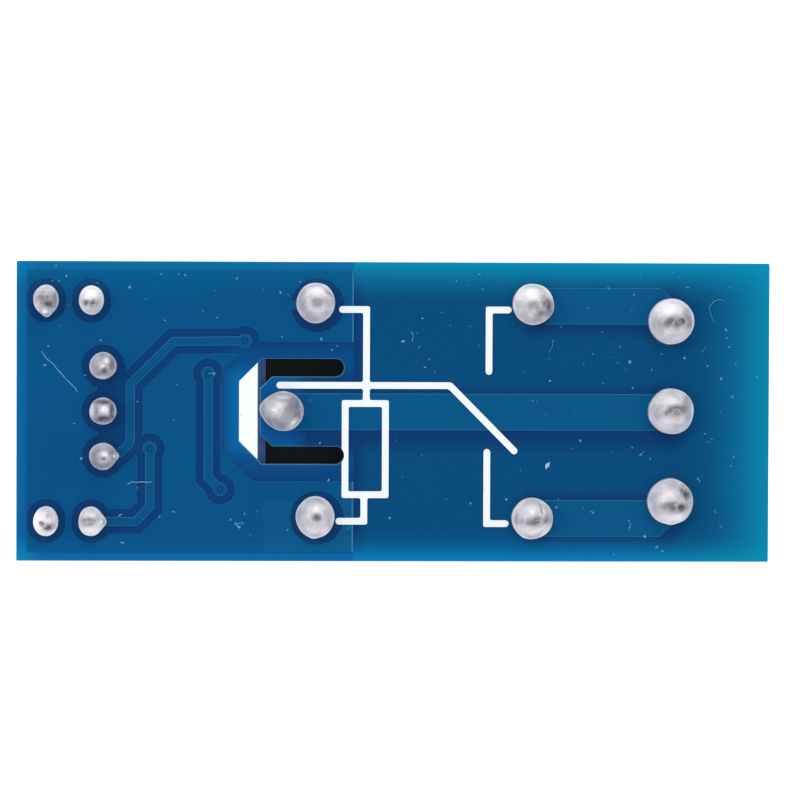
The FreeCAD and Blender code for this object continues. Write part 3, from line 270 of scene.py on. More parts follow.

# The same ink over copper foil: the copper's warmth makes it a little greener, and it thins at the edges, which also
# carry a painted highlight
copper, tree, point = newMaterial("solderMaskOnCopper")
x = addNode(tree, "ShaderNodeSeparateXYZ", {0: point}, 0)
y = addNode(tree, "ShaderNodeSeparateXYZ", {0: point}, 1)
isTrack = addNode(tree, "ShaderNodeMapRange", {0: x, 1: pourEnd - blend, 2: pourEnd + blend, 3: 0.0, 4: 1.0})
farther = patches(tree, point, 9 * mm, 0.0, 1.0, 1.0)
lowRight = nearBox(tree, point, (-4.7, -6.6), (2.57, 1.5), 0, 0.12, 0.8)   # copper on the far side shows through
# the pour's right rim is paler above and below the slot
rimNear = addNode(tree, "ShaderNodeMapRange", {0: x, 1: pourEnd - 0.12 * mm, 2: pourEnd - 0.05 * mm, 3: 0.0, 4: 0.55})
elsewhere = nearBox(tree, point, (0, 0), (30, 3), 0.0, 0.05)
for other in (isTrack, elsewhere):
    rimNear = addNode(tree, "ShaderNodeMath", {0: rimNear, 1: other}, operation="SUBTRACT", use_clamp=True)
# painted glow of light through the cut edges, weaker over the copper
shine = addNode(tree, "ShaderNodeMath", {0: edgeGlow(tree, x, y), 1: 0.22}, operation="MULTIPLY")
# painted highlight on the rounded copper edges, together with the thinner ink there
thin = addNode(tree, "ShaderNodeMapRange", {0: uprightness(tree), 1: 0.998, 2: 0.9, 3: 0.0, 4: 0.9})
colour = layered(tree, maskLook["overPour"], [
    (farther, maskLook["overPourFar"]), (lowRight, maskLook["overPourLow"]), (isTrack, maskLook["overTracks"]),
    (shine, maskLook["edgeGlow"]), (rimNear, maskLook["thinInkAndHighlight"]), (thin, maskLook["thinInkAndHighlight"])])
finishMask(tree, point, colour)
for nodeName, name in (("copper_pour", "maskedPour"), ("signal_tracks", "maskedSignalTracks"),
                       ("contact_tracks", "maskedContactTracks")):
    softenedCopy(nodeName, name, copper, 0.049 * mm, 3, smooth=False)
dress(copper, "component_side_tracks")

viaLook = {   # all in millimetres
    "places": [(-8.41, 3.98), (-13.74, -2.09), (-10.46, 2.13), (-9.78, -4.39)], "spokes": 32, "height": 16.951,
    # reach and rise of each step from the rim to the middle
    "profile": ((0.34, 0.0), (0.30, 0.012), (0.24, 0.018), (0.19, 0.012), (0.14, 0.004), (0.0, 0.008)),
}

# the ink sinks into each via and heaps up in a ring round it
form = bmesh.new()
spokes = viaLook["spokes"]
for viaX, viaY in viaLook["places"]:
    rows = []
    for reach, rise in viaLook["profile"]:
        turn = [2 * math.pi * k / spokes for k in range(spokes if reach else 1)]
        rows.append([form.verts.new(((viaX + reach * math.cos(a)) * mm, (viaY + reach * math.sin(a)) * mm,
                                     (viaLook["height"] + rise) * mm)) for a in turn])
    for low, high in zip(rows, rows[1:]):
        for k in range(spokes):
            after = (k + 1) % spokes
            corners = (low[k], low[after], high[after], high[k]) if len(high) > 1 else (low[k], low[after], high[0])
            form.faces.new(corners)

# The same ink where it sinks into a via: a dark ring round a paler floor
viaInk, tree, point = newMaterial("solderMaskInVias")
colour = maskLook["overPour"]
for viaX, viaY in viaLook["places"]:
    ring = nearBox(tree, point, (viaX, viaY), (0, 0), 0.15, 0.22, 0.9)
    floorInk = nearBox(tree, point, (viaX, viaY), (0, 0), 0.05, 0.1, 0.9)
    colour = layered(tree, colour, [(ring, maskLook["viaRing"]), (floorInk, maskLook["viaFloor"])])
finishMask(tree, point, colour)
newPiece("sunkenVias", meshFrom(form, "sunkenVias"), viaInk)
print("solder mask done")


inkLook = {
    "white": "#fcffff", "thin": "#dbeaf0", "patch": 0.25 * mm, "cornerRadius": 0.11 * mm,
    "grain": 0.1 * mm,   # the spacing of the printing screen's threads
}

# Screen-printed epoxy ink: matt white, a little thin and broken where it crosses copper edges
ink, tree, point = newMaterial("screenPrintedInk")
thin = patches(tree, point, inkLook["patch"], 0.0, 0.6, 3.0, (0.62, 0.78))
grain = addNode(tree, "ShaderNodeTexNoise", {"Vector": point, "Scale": 1 / inkLook["grain"], "Detail": 3.0})
finishMaterial(tree, {
    "Base Color": layered(tree, inkLook["white"], [(thin, inkLook["thin"])]), "Roughness": 0.55, "IOR": 1.5,
    "Normal": addNode(tree, "ShaderNodeBump", {"Height": grain, "Distance": 0.01 * mm, "Strength": 0.4})})
dress(ink, "component_side_legend")

# ink flows a little, so the printed corners are round
form = cleanedForm("solder_side_legend")
top = max(vert.co.z for vert in form.verts)
corners = []
for edge in form.edges:
    a, b = edge.verts[0].co, edge.verts[1].co
    isUpright = abs(a.z - b.z) > 0.9 * (a - b).length
    if isUpright and max(a.z, b.z) > top - 1e-6 and edge.is_manifold and edge.calc_face_angle(0) > 0.6:
        corners.append(edge)
bmesh.ops.bevel(form, geom=corners, offset=inkLook["cornerRadius"], segments=4, profile=0.5, affect="EDGES")
piece = newPiece("printedSymbols", meshFrom(form, "printedSymbols"), ink, smooth=False)
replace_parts(piece, "solder_side_legend")
print("legend done")


solderLook = {
    "face": 16.9 * mm, "under": 15.3 * mm, "rings": 48, "spokes": 96,
    "fresh": "#fdf7f8", "aged": "#9f9eac", "darkReflectionColour": "#4b4650",
    "metallic": 0.34, "roughness": 0.46,
    "frost": 0.5 * mm, "blotch": 0.36 * mm, "grain": 0.08 * mm,   # the last is the width of a tin crystal
    # the wetted rim round each heap: as a share of its radius, its height, and how softly it joins the heap
    "foot": 0.93, "footFilm": 0.05 * mm, "footBlend": 0.05 * mm,
    "plug": 0.96,   # how much of the plated hole's radius is filled
    # the film over a lead: its thickness and its shoulder in millimetres, its slope and the crown over the tip
    "film": 0.025, "shoulder": 0.07, "slope": 1.1, "crown": 0.3,
}

# Tin-lead solder, melted and cooled in air: soft white metal, greyer with age, with painted dark reflections and
# painted highlights on each heap
solder, tree, point = newMaterial("cooledSolder")
freshnessAndHighlight = addNode(tree, "ShaderNodeAttribute", output="Fac", attribute_name="freshnessAndHighlight")
darkReflection = addNode(tree, "ShaderNodeAttribute", output="Fac", attribute_name="darkReflection")
frost = patches(tree, point, solderLook["frost"], -0.16, 0.16, 3.0)
cleanAndHighlit = addNode(tree, "ShaderNodeMath", {0: freshnessAndHighlight, 1: frost}, operation="ADD", use_clamp=True)
broken = patches(tree, point, solderLook["blotch"], 0.55, 1.0, 2.0, (0.34, 0.56))
darkReflectionShare = addNode(tree, "ShaderNodeMath", {0: darkReflection, 1: broken}, operation="MULTIPLY", use_clamp=True)
rough = patches(tree, point, solderLook["frost"], solderLook["roughness"] - 0.06, solderLook["roughness"] + 0.08)
grain = addNode(tree, "ShaderNodeTexNoise", {"Vector": point, "Scale": 1 / solderLook["grain"], "Detail": 2.0})
finishMaterial(tree, {
    "Base Color": layered(tree, solderLook["aged"], [(cleanAndHighlit, solderLook["fresh"]), (darkReflectionShare, solderLook["darkReflectionColour"])]),
    "Metallic": solderLook["metallic"], "Roughness": rough,
    "Normal": addNode(tree, "ShaderNodeBump", {"Height": grain, "Distance": 0.006 * mm, "Strength": 0.5})})


def ovalFall(x, y, spot):
    # 1 in the middle of an oval spot and 0 well outside it
    across, along = x - spot[0] * mm, y - spot[1] * mm
    turn = math.radians(spot[4])
    u = (across * math.cos(turn) + along * math.sin(turn)) / (spot[2] * mm)
    v = (along * math.cos(turn) - across * math.sin(turn)) / (spot[3] * mm)
    return math.exp(-(u * u + v * v) ** 1.5)


def moundHeight(x, y, share, spot, shift):
    # the height of the solder over the board: a dome, its lumps, a film over the lead, and the wetted foot
    lead, height = spot["lead"], spot["height"] * mm
    inner = min(1.0, share / solderLook["foot"])
    rise = height * (1 - inner ** spot["fullness"]) ** 0.6
    unevenness = noise.noise(shift + Vector((x, y, 0)) / (0.6 * spot["radius"] * mm))
    rise += 0.05 * height * unevenness * (1 - inner ** 3)
    for lump in spot.get("lumps", ()):
        rise += lump[5] * mm * ovalFall(x, y, lump) * (1 - share ** 8)
    besideX = abs(x - lead[0] * mm) - lead[2] * mm / 2
    besideY = abs(y - lead[1] * mm) - lead[3] * mm / 2
    away = math.hypot(max(0.0, besideX), max(0.0, besideY))
    within = min(0.0, max(besideX, besideY))
    if spot.get("tip"):   # a round tip that stands out of the heap
        beside = math.hypot(x - lead[0] * mm, y - lead[1] * mm) - math.hypot(lead[2], lead[3]) * mm / 2
        away, within = max(0.0, beside), 1.6 * min(0.0, beside)
    look = solderLook
    fall = look["slope"] * max(0.0, away - look["shoulder"] * mm)
    film = (lead[4] + look["film"]) * mm - fall - look["crown"] * within
    blend = spot.get("blend", 0.16) * mm   # how softly the heap and the film meet
    heap = 0.5 * (rise + film + math.hypot(rise - film, blend))
    foot = look["footFilm"] * (1 - share ** 12)
    return 0.5 * (heap + foot + math.hypot(heap - foot, look["footBlend"]))


def solderMound(form, spot, seed):
    # one heap: an irregular outline, its surface, and the plug in the plated hole
    look = solderLook
    darkReflection, freshnessAndHighlight = form.verts.layers.float["darkReflection"], form.verts.layers.float["freshnessAndHighlight"]
    rings, spokes = look["rings"], look["spokes"]
    rnd = random.Random(seed)
    shift = Vector([rnd.uniform(0, 50) for k in range(3)])
    stretch = spot.get("stretch", (0.0, 0.0))
    levels = []
    for ring in range(rings + 1):
        share = (ring / rings) ** 0.75
        row = []
        for spoke in range(spokes if ring else 1):
            angle = 2 * math.pi * spoke / spokes
            c, s = math.cos(angle), math.sin(angle)
            reach = spot["radius"] * (1 + 0.03 * noise.noise(shift + Vector((c, s, 0)) * 1.4))
            for toward, extra, spread in spot.get("bulges", ()):
                apart = (math.degrees(angle) - toward + 180) % 360 - 180
                reach += extra * math.exp(-(apart / spread) ** 2)
            x = (spot["at"][0] + share * c * (reach + stretch[0])) * mm
            y = (spot["at"][1] + share * s * (reach + stretch[1])) * mm
            rise = moundHeight(x, y, share, spot, shift) if ring < rings else 0.0
            vert = form.verts.new((x, y, look["face"] + rise))
            # painted dark reflections and shade on the heap
            vert[darkReflection] = max([mark[5] * ovalFall(x, y, mark) for mark in spot.get("darkReflections", ())], default=0.0)
            # painted highlights: the glints, and a painted bright rim round each heap, laid over the clean metal
            bright = max([glint[5] * ovalFall(x, y, glint) for glint in spot.get("glints", ())], default=0.0)
            rimShine = 0.6 * max(0.0, (share - 0.9) / 0.1)
            vert[freshnessAndHighlight] = spot["fresh"] + (1 - spot["fresh"]) * max(bright, rimShine)
            row.append(vert)
        levels.append(row)
    hole = (math.hypot(spot["lead"][2], spot["lead"][3]) / 2 + 0.1) * mm
    leadX, leadY = spot["lead"][0] * mm, spot["lead"][1] * mm
    for z in (look["face"], look["under"]):
        levels.append([form.verts.new((leadX + look["plug"] * hole * math.cos(2 * math.pi * k / spokes),
                                       leadY + look["plug"] * hole * math.sin(2 * math.pi * k / spokes), z))
                       for k in range(spokes)])
    for low, high in zip(levels, levels[1:]):
        for spoke in range(spokes):
            after = (spoke + 1) % spokes
            if len(low) == 1:
                form.faces.new((low[0], high[spoke], high[after]))
            else:
                form.faces.new((low[spoke], high[spoke], high[after], low[after]))
    form.faces.new(levels[-1][::-1])


# Places in millimetres. A lead is x, y, its two widths and its tip's height over the board.
# A painted dark reflection, a painted highlight (glint) or a lump is x, y, half length, half width, turn in degrees,
# then strength or height.
# A bulge of the outline is its direction in degrees, its reach and its spread in degrees.
# More fullness makes a rounder heap, stretch widens it along x and y, and fresh is how clean its metal is.
joints = {
    "terminalSolderJoints": ("terminal_solder", 11, {"radius": 1.30, "height": 1.50, "fullness": 2.7,
                                                     "fresh": 0.66}, [
        {"at": (15.63, -5.01), "lead": (15.65, -5.08, 0.8, 1.0, 1.38), "bulges": [(-88, 0.05, 12)],
         "lumps": [(15.55, -5.26, 0.08, 0.16, 0, 0.05), (16.1, -5.3, 0.22, 0.14, 0, -0.05)],
         "darkReflections": [(15.78, -5.25, 0.8, 0.36, 0, 0.85), (16.12, -5.3, 0.36, 0.3, 0, 1.0),
                   (16.4, -4.52, 0.3, 0.44, 30, 0.95), (15.9, -4.9, 0.9, 0.55, 0, 0.28)],
         "glints": [(15.56, -5.27, 0.08, 0.2, 0, 1.0), (15.3, -4.5, 0.5, 0.5, 20, 0.8),
                    (15.9, -5.9, 0.6, 0.24, 0, 0.8)]},
        {"at": (15.66, 0.08), "lead": (15.65, 0.0, 0.8, 1.0, 1.38),
         "lumps": [(15.7, 0.14, 0.3, 0.1, 12, -0.05)],
         "darkReflections": [(15.8, 0.16, 0.8, 0.34, 10, 0.95), (16.2, 0.24, 0.4, 0.36, 0, 0.8),
                   (16.5, 0.3, 0.26, 0.8, 0, 0.4), (15.3, 0.2, 0.5, 0.4, 0, 0.3)],
         "glints": [(15.3, 0.85, 0.7, 0.34, 20, 0.9), (15.62, 0.02, 0.05, 0.05, 0, 0.9),
                    (15.1, -0.7, 0.5, 0.4, -30, 0.7), (16.85, 0.1, 0.08, 0.8, 0, 0.9)]},
        {"at": (15.65, 5.17), "lead": (15.65, 5.08, 0.8, 1.0, 1.38),
         "lumps": [(16.1, 5.16, 0.2, 0.14, 0, -0.06)],
         "darkReflections": [(15.66, 5.12, 0.85, 0.42, 0, 0.85), (16.13, 5.17, 0.32, 0.28, 0, 1.0),
                   (16.5, 5.3, 0.26, 0.7, 15, 0.55)],
         "glints": [(15.2, 5.75, 0.8, 0.42, 30, 1.0), (15.66, 5.08, 0.1, 0.08, 0, 0.7),
                    (16.85, 5.2, 0.08, 0.7, 0, 0.9), (15.6, 4.3, 0.8, 0.24, 0, 0.6)]}]),
    "contactSolderJoints": ("contact_solder", 23, {"radius": 1.17, "height": 1.35, "fullness": 2.5,
                                                   "fresh": 0.72}, [
        {"at": (7.84, 6.10), "lead": (7.89, 6.0, 1.0, 0.4, 1.22),
         "lumps": [(8.44, 5.24, 0.16, 0.2, 20, 0.16), (8.5, 6.1, 0.16, 0.2, 0, -0.06)],
         "darkReflections": [(7.9, 6.0, 0.7, 0.34, -10, 0.55), (8.56, 6.06, 0.34, 0.56, 18, 0.9),
                   (8.28, 5.7, 0.5, 0.26, 30, 0.8)],
         "glints": [(7.4, 6.7, 0.6, 0.4, 20, 0.8), (8.46, 5.24, 0.12, 0.18, 15, 1.0)]},
        {"at": (7.83, -6.0), "radius": 1.18, "lead": (7.89, -6.0, 1.0, 0.4, 1.22),
         "lumps": [(8.48, -6.9, 0.16, 0.14, 20, 0.12), (8.48, -5.45, 0.07, 0.36, 12, 0.09)],
         "darkReflections": [(8.04, -6.1, 0.86, 0.32, 3, 0.85), (8.4, -6.0, 0.34, 0.3, 0, 0.7),
                   (8.3, -5.5, 0.06, 0.36, 12, 0.6), (6.92, -6.02, 0.09, 0.34, 0, 0.6)],
         "glints": [(7.6, -5.3, 0.7, 0.4, 10, 0.9), (8.5, -5.45, 0.07, 0.36, 12, 1.0),
                    (8.5, -6.9, 0.14, 0.12, 20, 0.9)]}]),
    "coilSolderJoints": ("coil_solder", 31, {"radius": 1.10, "height": 1.24, "fullness": 2.4, "fresh": 0.66}, [
        {"at": (-4.42, 6.13), "stretch": (0.0, 0.06), "lead": (-4.31, 6.0, 0.6, 0.6, 1.12),
         "darkReflections": [(-4.36, 6.2, 0.46, 0.36, 10, 0.62), (-4.8, 6.1, 0.5, 0.6, 0, 0.26),
                   (-3.7, 6.7, 0.3, 0.12, -40, 0.5)],
         "glints": [(-4.4, 6.85, 0.5, 0.3, 0, 0.9)]},
        {"at": (-4.42, -5.94), "stretch": (0.0, 0.08), "lead": (-4.31, -6.0, 0.6, 0.6, 1.12),
         "bulges": [(-94, 0.06, 14)],
         "darkReflections": [(-4.34, -5.92, 0.28, 0.24, 0, 1.0), (-4.5, -5.95, 0.7, 0.5, 0, 0.2)],
         "glints": [(-4.4, -5.3, 0.6, 0.3, 0, 0.8)]}]),
    "commonSolderJoint": ("common_solder", 41, {"radius": 1.13, "height": 1.34, "fullness": 2.6, "fresh": 0.16}, [
        {"at": (-6.21, 0.03), "lead": (-6.31, 0.0, 0.4, 1.0, 1.22), "bulges": [(172, 0.24, 34)],
         "lumps": [(-6.7, 0.14, 0.55, 0.3, -4, 0.14), (-5.56, -0.7, 0.26, 0.16, 40, 0.32)],
         "darkReflections": [(-5.8, 0.16, 0.5, 0.6, -10, 0.42), (-6.5, -0.5, 0.6, 0.2, -12, 0.3),
                   (-6.4, 0.1, 0.07, 0.07, 0, 0.6)],
         "glints": [(-6.85, 0.24, 0.66, 0.5, -6, 0.8), (-5.6, -0.66, 0.42, 0.3, 40, 1.0),
                    (-6.35, 0.12, 0.16, 0.16, 0, 1.0),
                    (-5.25, 0.1, 0.08, 0.5, 8, 0.8), (-6.3, 0.85, 0.5, 0.14, 0, 0.6)]}]),
    "headerSolderJoints": ("header_solder", 53, {"radius": 0.77, "height": 1.25, "fullness": 2.6, "fresh": 0.3}, [
        {"at": (-16.37, -2.53), "lead": (-16.37, -2.54, 0.44, 0.44, 1.15), "bulges": [(2, 0.15, 14)],
         "lumps": [(-15.62, -2.5, 0.12, 0.14, 0, 0.3)],
         "darkReflections": [(-16.32, -2.62, 0.16, 0.13, 0, 0.9), (-16.72, -2.66, 0.34, 0.5, 0, 0.44),
                   (-16.3, -3.0, 0.4, 0.16, 0, 0.44)],
         "glints": [(-16.26, -2.42, 0.2, 0.16, 0, 1.0), (-15.6, -2.5, 0.16, 0.16, 0, 1.0)]},
        {"at": (-16.37, 0.01), "height": 0.74, "fullness": 3.0, "blend": 0.06, "tip": True,
         "lead": (-16.37, 0.0, 0.44, 0.44, 1.15),
         "darkReflections": [(-16.35, -0.4, 0.5, 0.2, 0, 1.0), (-15.84, 0.0, 0.14, 0.5, 0, 0.95),
                   (-16.35, 0.54, 0.5, 0.14, 0, 0.9), (-16.7, 0.0, 0.12, 0.37, 0, 0.5)],
         "glints": [(-16.24, 0.1, 0.22, 0.22, 0, 1.0), (-16.98, 0.1, 0.12, 0.4, 0, 0.7)]},
        {"at": (-16.37, 2.57), "lead": (-16.37, 2.54, 0.44, 0.44, 1.15),
         "darkReflections": [(-16.3, 2.3, 0.24, 0.18, 20, 0.9), (-15.88, 2.7, 0.16, 0.4, 0, 0.5),
                   (-16.7, 2.5, 0.2, 0.4, 30, 0.4)],
         "glints": [(-16.36, 2.56, 0.14, 0.1, 30, 1.0), (-16.12, 2.86, 0.2, 0.16, -30, 0.9),
                    (-16.4, 1.94, 0.3, 0.1, 0, 0.8)]}]),
    "ledSolderJoints": ("led_solder", 61, {"radius": 0.71, "height": 1.05, "stretch": (0.0, 0.13), "fullness": 2.8,
                                           "fresh": 1.0}, [
        {"at": (-19.57, 6.27), "lead": (-19.58, 6.22, 0.45, 0.45, 0.97), "bulges": [(-88, 0.16, 20)], "fresh": 0.5,
         "lumps": [(-19.6, 5.43, 0.24, 0.18, 0, 0.34)],
         "darkReflections": [(-19.66, 6.42, 0.56, 0.5, 0, 0.75), (-19.4, 6.08, 0.34, 0.26, 0, 1.0),
                   (-19.06, 6.3, 0.14, 0.5, 0, 0.6)],
         "glints": [(-19.55, 5.45, 0.36, 0.34, 0, 1.0), (-19.6, 6.86, 0.5, 0.3, 0, 1.0)]},
        {"at": (-17.03, 6.25), "lead": (-17.04, 6.22, 0.45, 0.45, 0.97),
         "darkReflections": [(-17.27, 6.1, 0.25, 0.2, 0, 0.95), (-16.88, 6.06, 0.3, 0.24, 20, 1.0)]},
        {"at": (-19.57, -6.20), "lead": (-19.58, -6.22, 0.45, 0.45, 0.97),
         "darkReflections": [(-19.43, -5.88, 0.15, 0.15, 0, 0.5), (-19.76, -6.32, 0.22, 0.16, -30, 0.95),
                   (-19.4, -6.5, 0.34, 0.22, 14, 1.0)]},
        {"at": (-17.04, -6.20), "lead": (-17.04, -6.22, 0.45, 0.45, 0.97), "bulges": [(-2, 0.17, 20)],
         "lumps": [(-16.25, -6.2, 0.18, 0.24, 0, 0.34)],
         "darkReflections": [(-17.16, -6.18, 0.5, 0.3, 5, 0.85), (-16.86, -6.14, 0.2, 0.2, 0, 0.7)]}]),
}
for name, (nodeName, seed, shared, spots) in joints.items():
    form = bmesh.new()
    form.verts.layers.float.new("darkReflection")
    form.verts.layers.float.new("freshnessAndHighlight")
    for i, spot in enumerate(spots):
        solderMound(form, {**shared, **spot}, seed + i)
    bmesh.ops.recalc_face_normals(form, faces=form.faces)
    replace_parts(newPiece(name, meshFrom(form, name), solder), nodeName)
print("solder joints done")


plasticLook = {
    "grit": 0.05 * mm, "cloud": 2.2 * mm,   # the width of a spark-eroded pit, and of a cloud in the pigment
    "caseBlue": "#1773b2", "terminalBlue": "#1a6cb4", "black": "#060508", "epoxyBlack": "#1c1c1f",
}


def mouldedPlastic(name, hexColour, roughness, speckle, inputs):
    # fine spark-eroded mould texture, and a faint unevenness of the pigment
    material, tree, point = newMaterial(name)
    pigment = patches(tree, point, plasticLook["cloud"], 0.0, 1.0, 3.0)
    grit = addNode(tree, "ShaderNodeTexNoise", {"Vector": point, "Scale": 1 / plasticLook["grit"]})
    finishMaterial(tree, {
        "Base Color": layered(tree, hexColour, [(pigment, shaded(hexColour, 0.95))]),
        "Roughness": patches(tree, point, plasticLook["cloud"], roughness - 0.04, roughness + 0.05, 3.0),
        "Normal": addNode(tree, "ShaderNodeBump", {"Height": grit, "Distance": 0.006 * mm, "Strength": speckle}),
        **inputs})
    return material


# Polycarbonate relay case, injection moulded and polished: glossy, faintly see-through blue
casePlastic = mouldedPlastic("mouldedPolycarbonate", plasticLook["caseBlue"], 0.22, 0.25, {
    "IOR": 1.58, "Subsurface Weight": 0.12, "Subsurface Radius": (0.2, 0.5, 1.0), "Subsurface Scale": 0.6 * mm})
dress(casePlastic, "relay_case")

# Glass-filled PBT: matt black with a fine grain
blackPlastic = mouldedPlastic("glassFilledPBT", plasticLook["black"], 0.48, 0.6, {
    "IOR": 1.57, "Specular IOR Level": 0.25})
dress(blackPlastic, "relay_bobbin", "relay_base")
softenedCopy("header_body", "headerMoulding", blackPlastic, 0.08 * mm)

# Polyamide terminal block: satin blue, slightly waxy
terminalPlastic = mouldedPlastic("mouldedPolyamide", plasticLook["terminalBlue"], 0.36, 0.45, {
    "IOR": 1.53, "Subsurface Weight": 0.1, "Subsurface Radius": (0.2, 0.5, 1.0), "Subsurface Scale": 0.5 * mm})
softenedCopy("terminal_housing", "terminalMoulding", terminalPlastic, 0.12 * mm)

# Moulded epoxy on the transistor and diode: dull black, finely pitted
epoxy = mouldedPlastic("mouldedEpoxy", plasticLook["epoxyBlack"], 0.55, 0.9, {"IOR": 1.55})
softenedCopy("transistor_body", "transistorMoulding", epoxy, 0.04 * mm)
softenedCopy("diode_body", "diodeMoulding", epoxy, 0.08 * mm)
print("plastics done")


metalLook = {
    "tin": "#c9c9c7", "zinc": "#bfc3c6", "iron": "#a9a8a6", "bronze": "#c79a63", "silver": "#dcdad5",
    "blotch": 1.2 * mm, "streakLength": 18,   # how many times longer than wide a rolling line is
}


def rolledMetal(name, hexColour, roughness, streak, axis):
    # grain from rolling or drawing: streaks much longer than they are wide; real ones are about 0.02 mm wide,
    # and these are drawn wider so that they show
    material, tree, point = newMaterial(name)
    scale = [1 / streak] * 3
    scale["XYZ".index(axis)] = 1 / (streak * metalLook["streakLength"])
    drawn = addNode(tree, "ShaderNodeVectorMath", {0: point, 1: scale}, operation="MULTIPLY")
    streaks = addNode(tree, "ShaderNodeTexNoise", {"Vector": drawn, "Scale": 1.0, "Detail": 3.0})
    blotch = patches(tree, point, metalLook["blotch"], 0.0, 0.5, 3.0, (0.35, 0.75))
    finishMaterial(tree, {
        "Base Color": layered(tree, hexColour, [(blotch, shaded(hexColour, 0.8))]), "Metallic": 1.0,
        "Roughness": patches(tree, drawn, 1.0, roughness - 0.07, roughness + 0.09, 3.0),
        "Normal": addNode(tree, "ShaderNodeBump", {"Height": streaks, "Distance": 0.006 * mm, "Strength": 0.5})})
    return material


# Tin plate on drawn brass pins: soft white metal with lengthwise drawing lines
tinPlate = rolledMetal("tinPlate", metalLook["tin"], 0.3, 0.06 * mm, "Z")
dress(tinPlate, "header_pins", "coil_pins", "common_strip", "open_contact_strip", "closed_contact_strip",
      "terminal_strips", "power_led_leads", "status_led_leads", "transistor_leads", "diode_terminals",
      "chip_end_caps")
# Bright zinc on steel: cool grey, satin
zincPlate = rolledMetal("zincPlate", metalLook["zinc"], 0.32, 0.1 * mm, "X")
dress(zincPlate, "clamp_cage_1", "clamp_cage_2", "clamp_cage_3", "armature_rivets", "yoke_rivets")
# Annealed magnet iron: darker, duller than the plated steel
magnetIron = rolledMetal("annealedIron", metalLook["iron"], 0.4, 0.12 * mm, "X")
dress(magnetIron, "relay_core", "relay_yoke", "relay_armature")
# Rolled phosphor bronze: warm, with fine rolling lines along the leaf
phosphorBronze = rolledMetal("phosphorBronze", metalLook["bronze"], 0.26, 0.05 * mm, "X")
dress(phosphorBronze, "relay_spring")
# Silver alloy contact buttons: bright and finely turned
silverAlloy = rolledMetal("silverAlloy", metalLook["silver"], 0.22, 0.08 * mm, "Y")
dress(silverAlloy, "moving_contact", "open_contact", "closed_contact")
for i in (1, 2, 3):
    softenedCopy("clamp_screw_%d" % i, "clampScrew%d" % i, zincPlate, 0.07 * mm, 2,
                 "screw_%d" % i)

coilLook = {"pitch": 0.14 * mm, "dark": "#8a3d14", "light": "#c8713a"}

# Enamelled copper wire, wound: real turns are 0.06 mm apart, drawn 0.14 mm apart so that they show
enamel, tree, point = newMaterial("enamelledCopperWire")
turns = addNode(tree, "ShaderNodeTexWave", {"Vector": point, "Scale": 0.25 / coilLook["pitch"] / math.pi,
                                            "Distortion": 0.4}, bands_direction="Z")
finishMaterial(tree, {
    "Base Color": layered(tree, coilLook["dark"], [(turns, coilLook["light"])]),
    "Metallic": 1.0, "Roughness": 0.28, "Coat Weight": 0.6,
    "Normal": addNode(tree, "ShaderNodeBump", {"Height": turns, "Distance": 0.05 * mm, "Strength": 0.8})})
dress(enamel, "relay_winding")

chipLook = {"glaze": "#141416", "mottled": "#26262a", "patch": 0.3 * mm}   # the width of a mottle in the glaze

# Thick-film chip resistors: dark glaze on a ceramic chip
glaze, tree, point = newMaterial("glazedChip")
mottle = patches(tree, point, chipLook["patch"], 0.0, 1.0, 3.0)
finishMaterial(tree, {
    "Base Color": layered(tree, chipLook["glaze"], [(mottle, chipLook["mottled"])]), "IOR": 1.5, "Roughness": 0.3,
    "Normal": addNode(tree, "ShaderNodeBump", {"Height": mottle, "Distance": 0.01 * mm, "Strength": 0.4})})
softenedCopy("chip_resistors", "chipBodies", glaze, 0.03 * mm)
print("metals done")


lampLook = {
    "red": "#c8141c", "green": "#1fae3a", "haze": 0.8 * mm,   # the width of a cloud in the resin
    "spokes": 64, "domeSteps": 12,
    "centreX": -18.31 * mm, "centreY": 6.22 * mm, "seat": 15.25 * mm, "length": 5.3 * mm,
    "radius": 1.55 * mm, "flange": 1.9 * mm, "flangeHeight": 1.0 * mm, "flat": 1.63 * mm,
}


def castResin(name, hexColour):
    # tinted epoxy, cast in a polished cup: clear and glossy, with a faint haze
    material, tree, point = newMaterial(name)
    haze = patches(tree, point, lampLook["haze"], 0.0, 0.25, 3.0)
    finishMaterial(tree, {"Base Color": layered(tree, hexColour, [(haze, shaded(hexColour, 1.25))]),
                          "IOR": 1.53, "Roughness": 0.08, "Transmission Weight": 0.82})
    return material


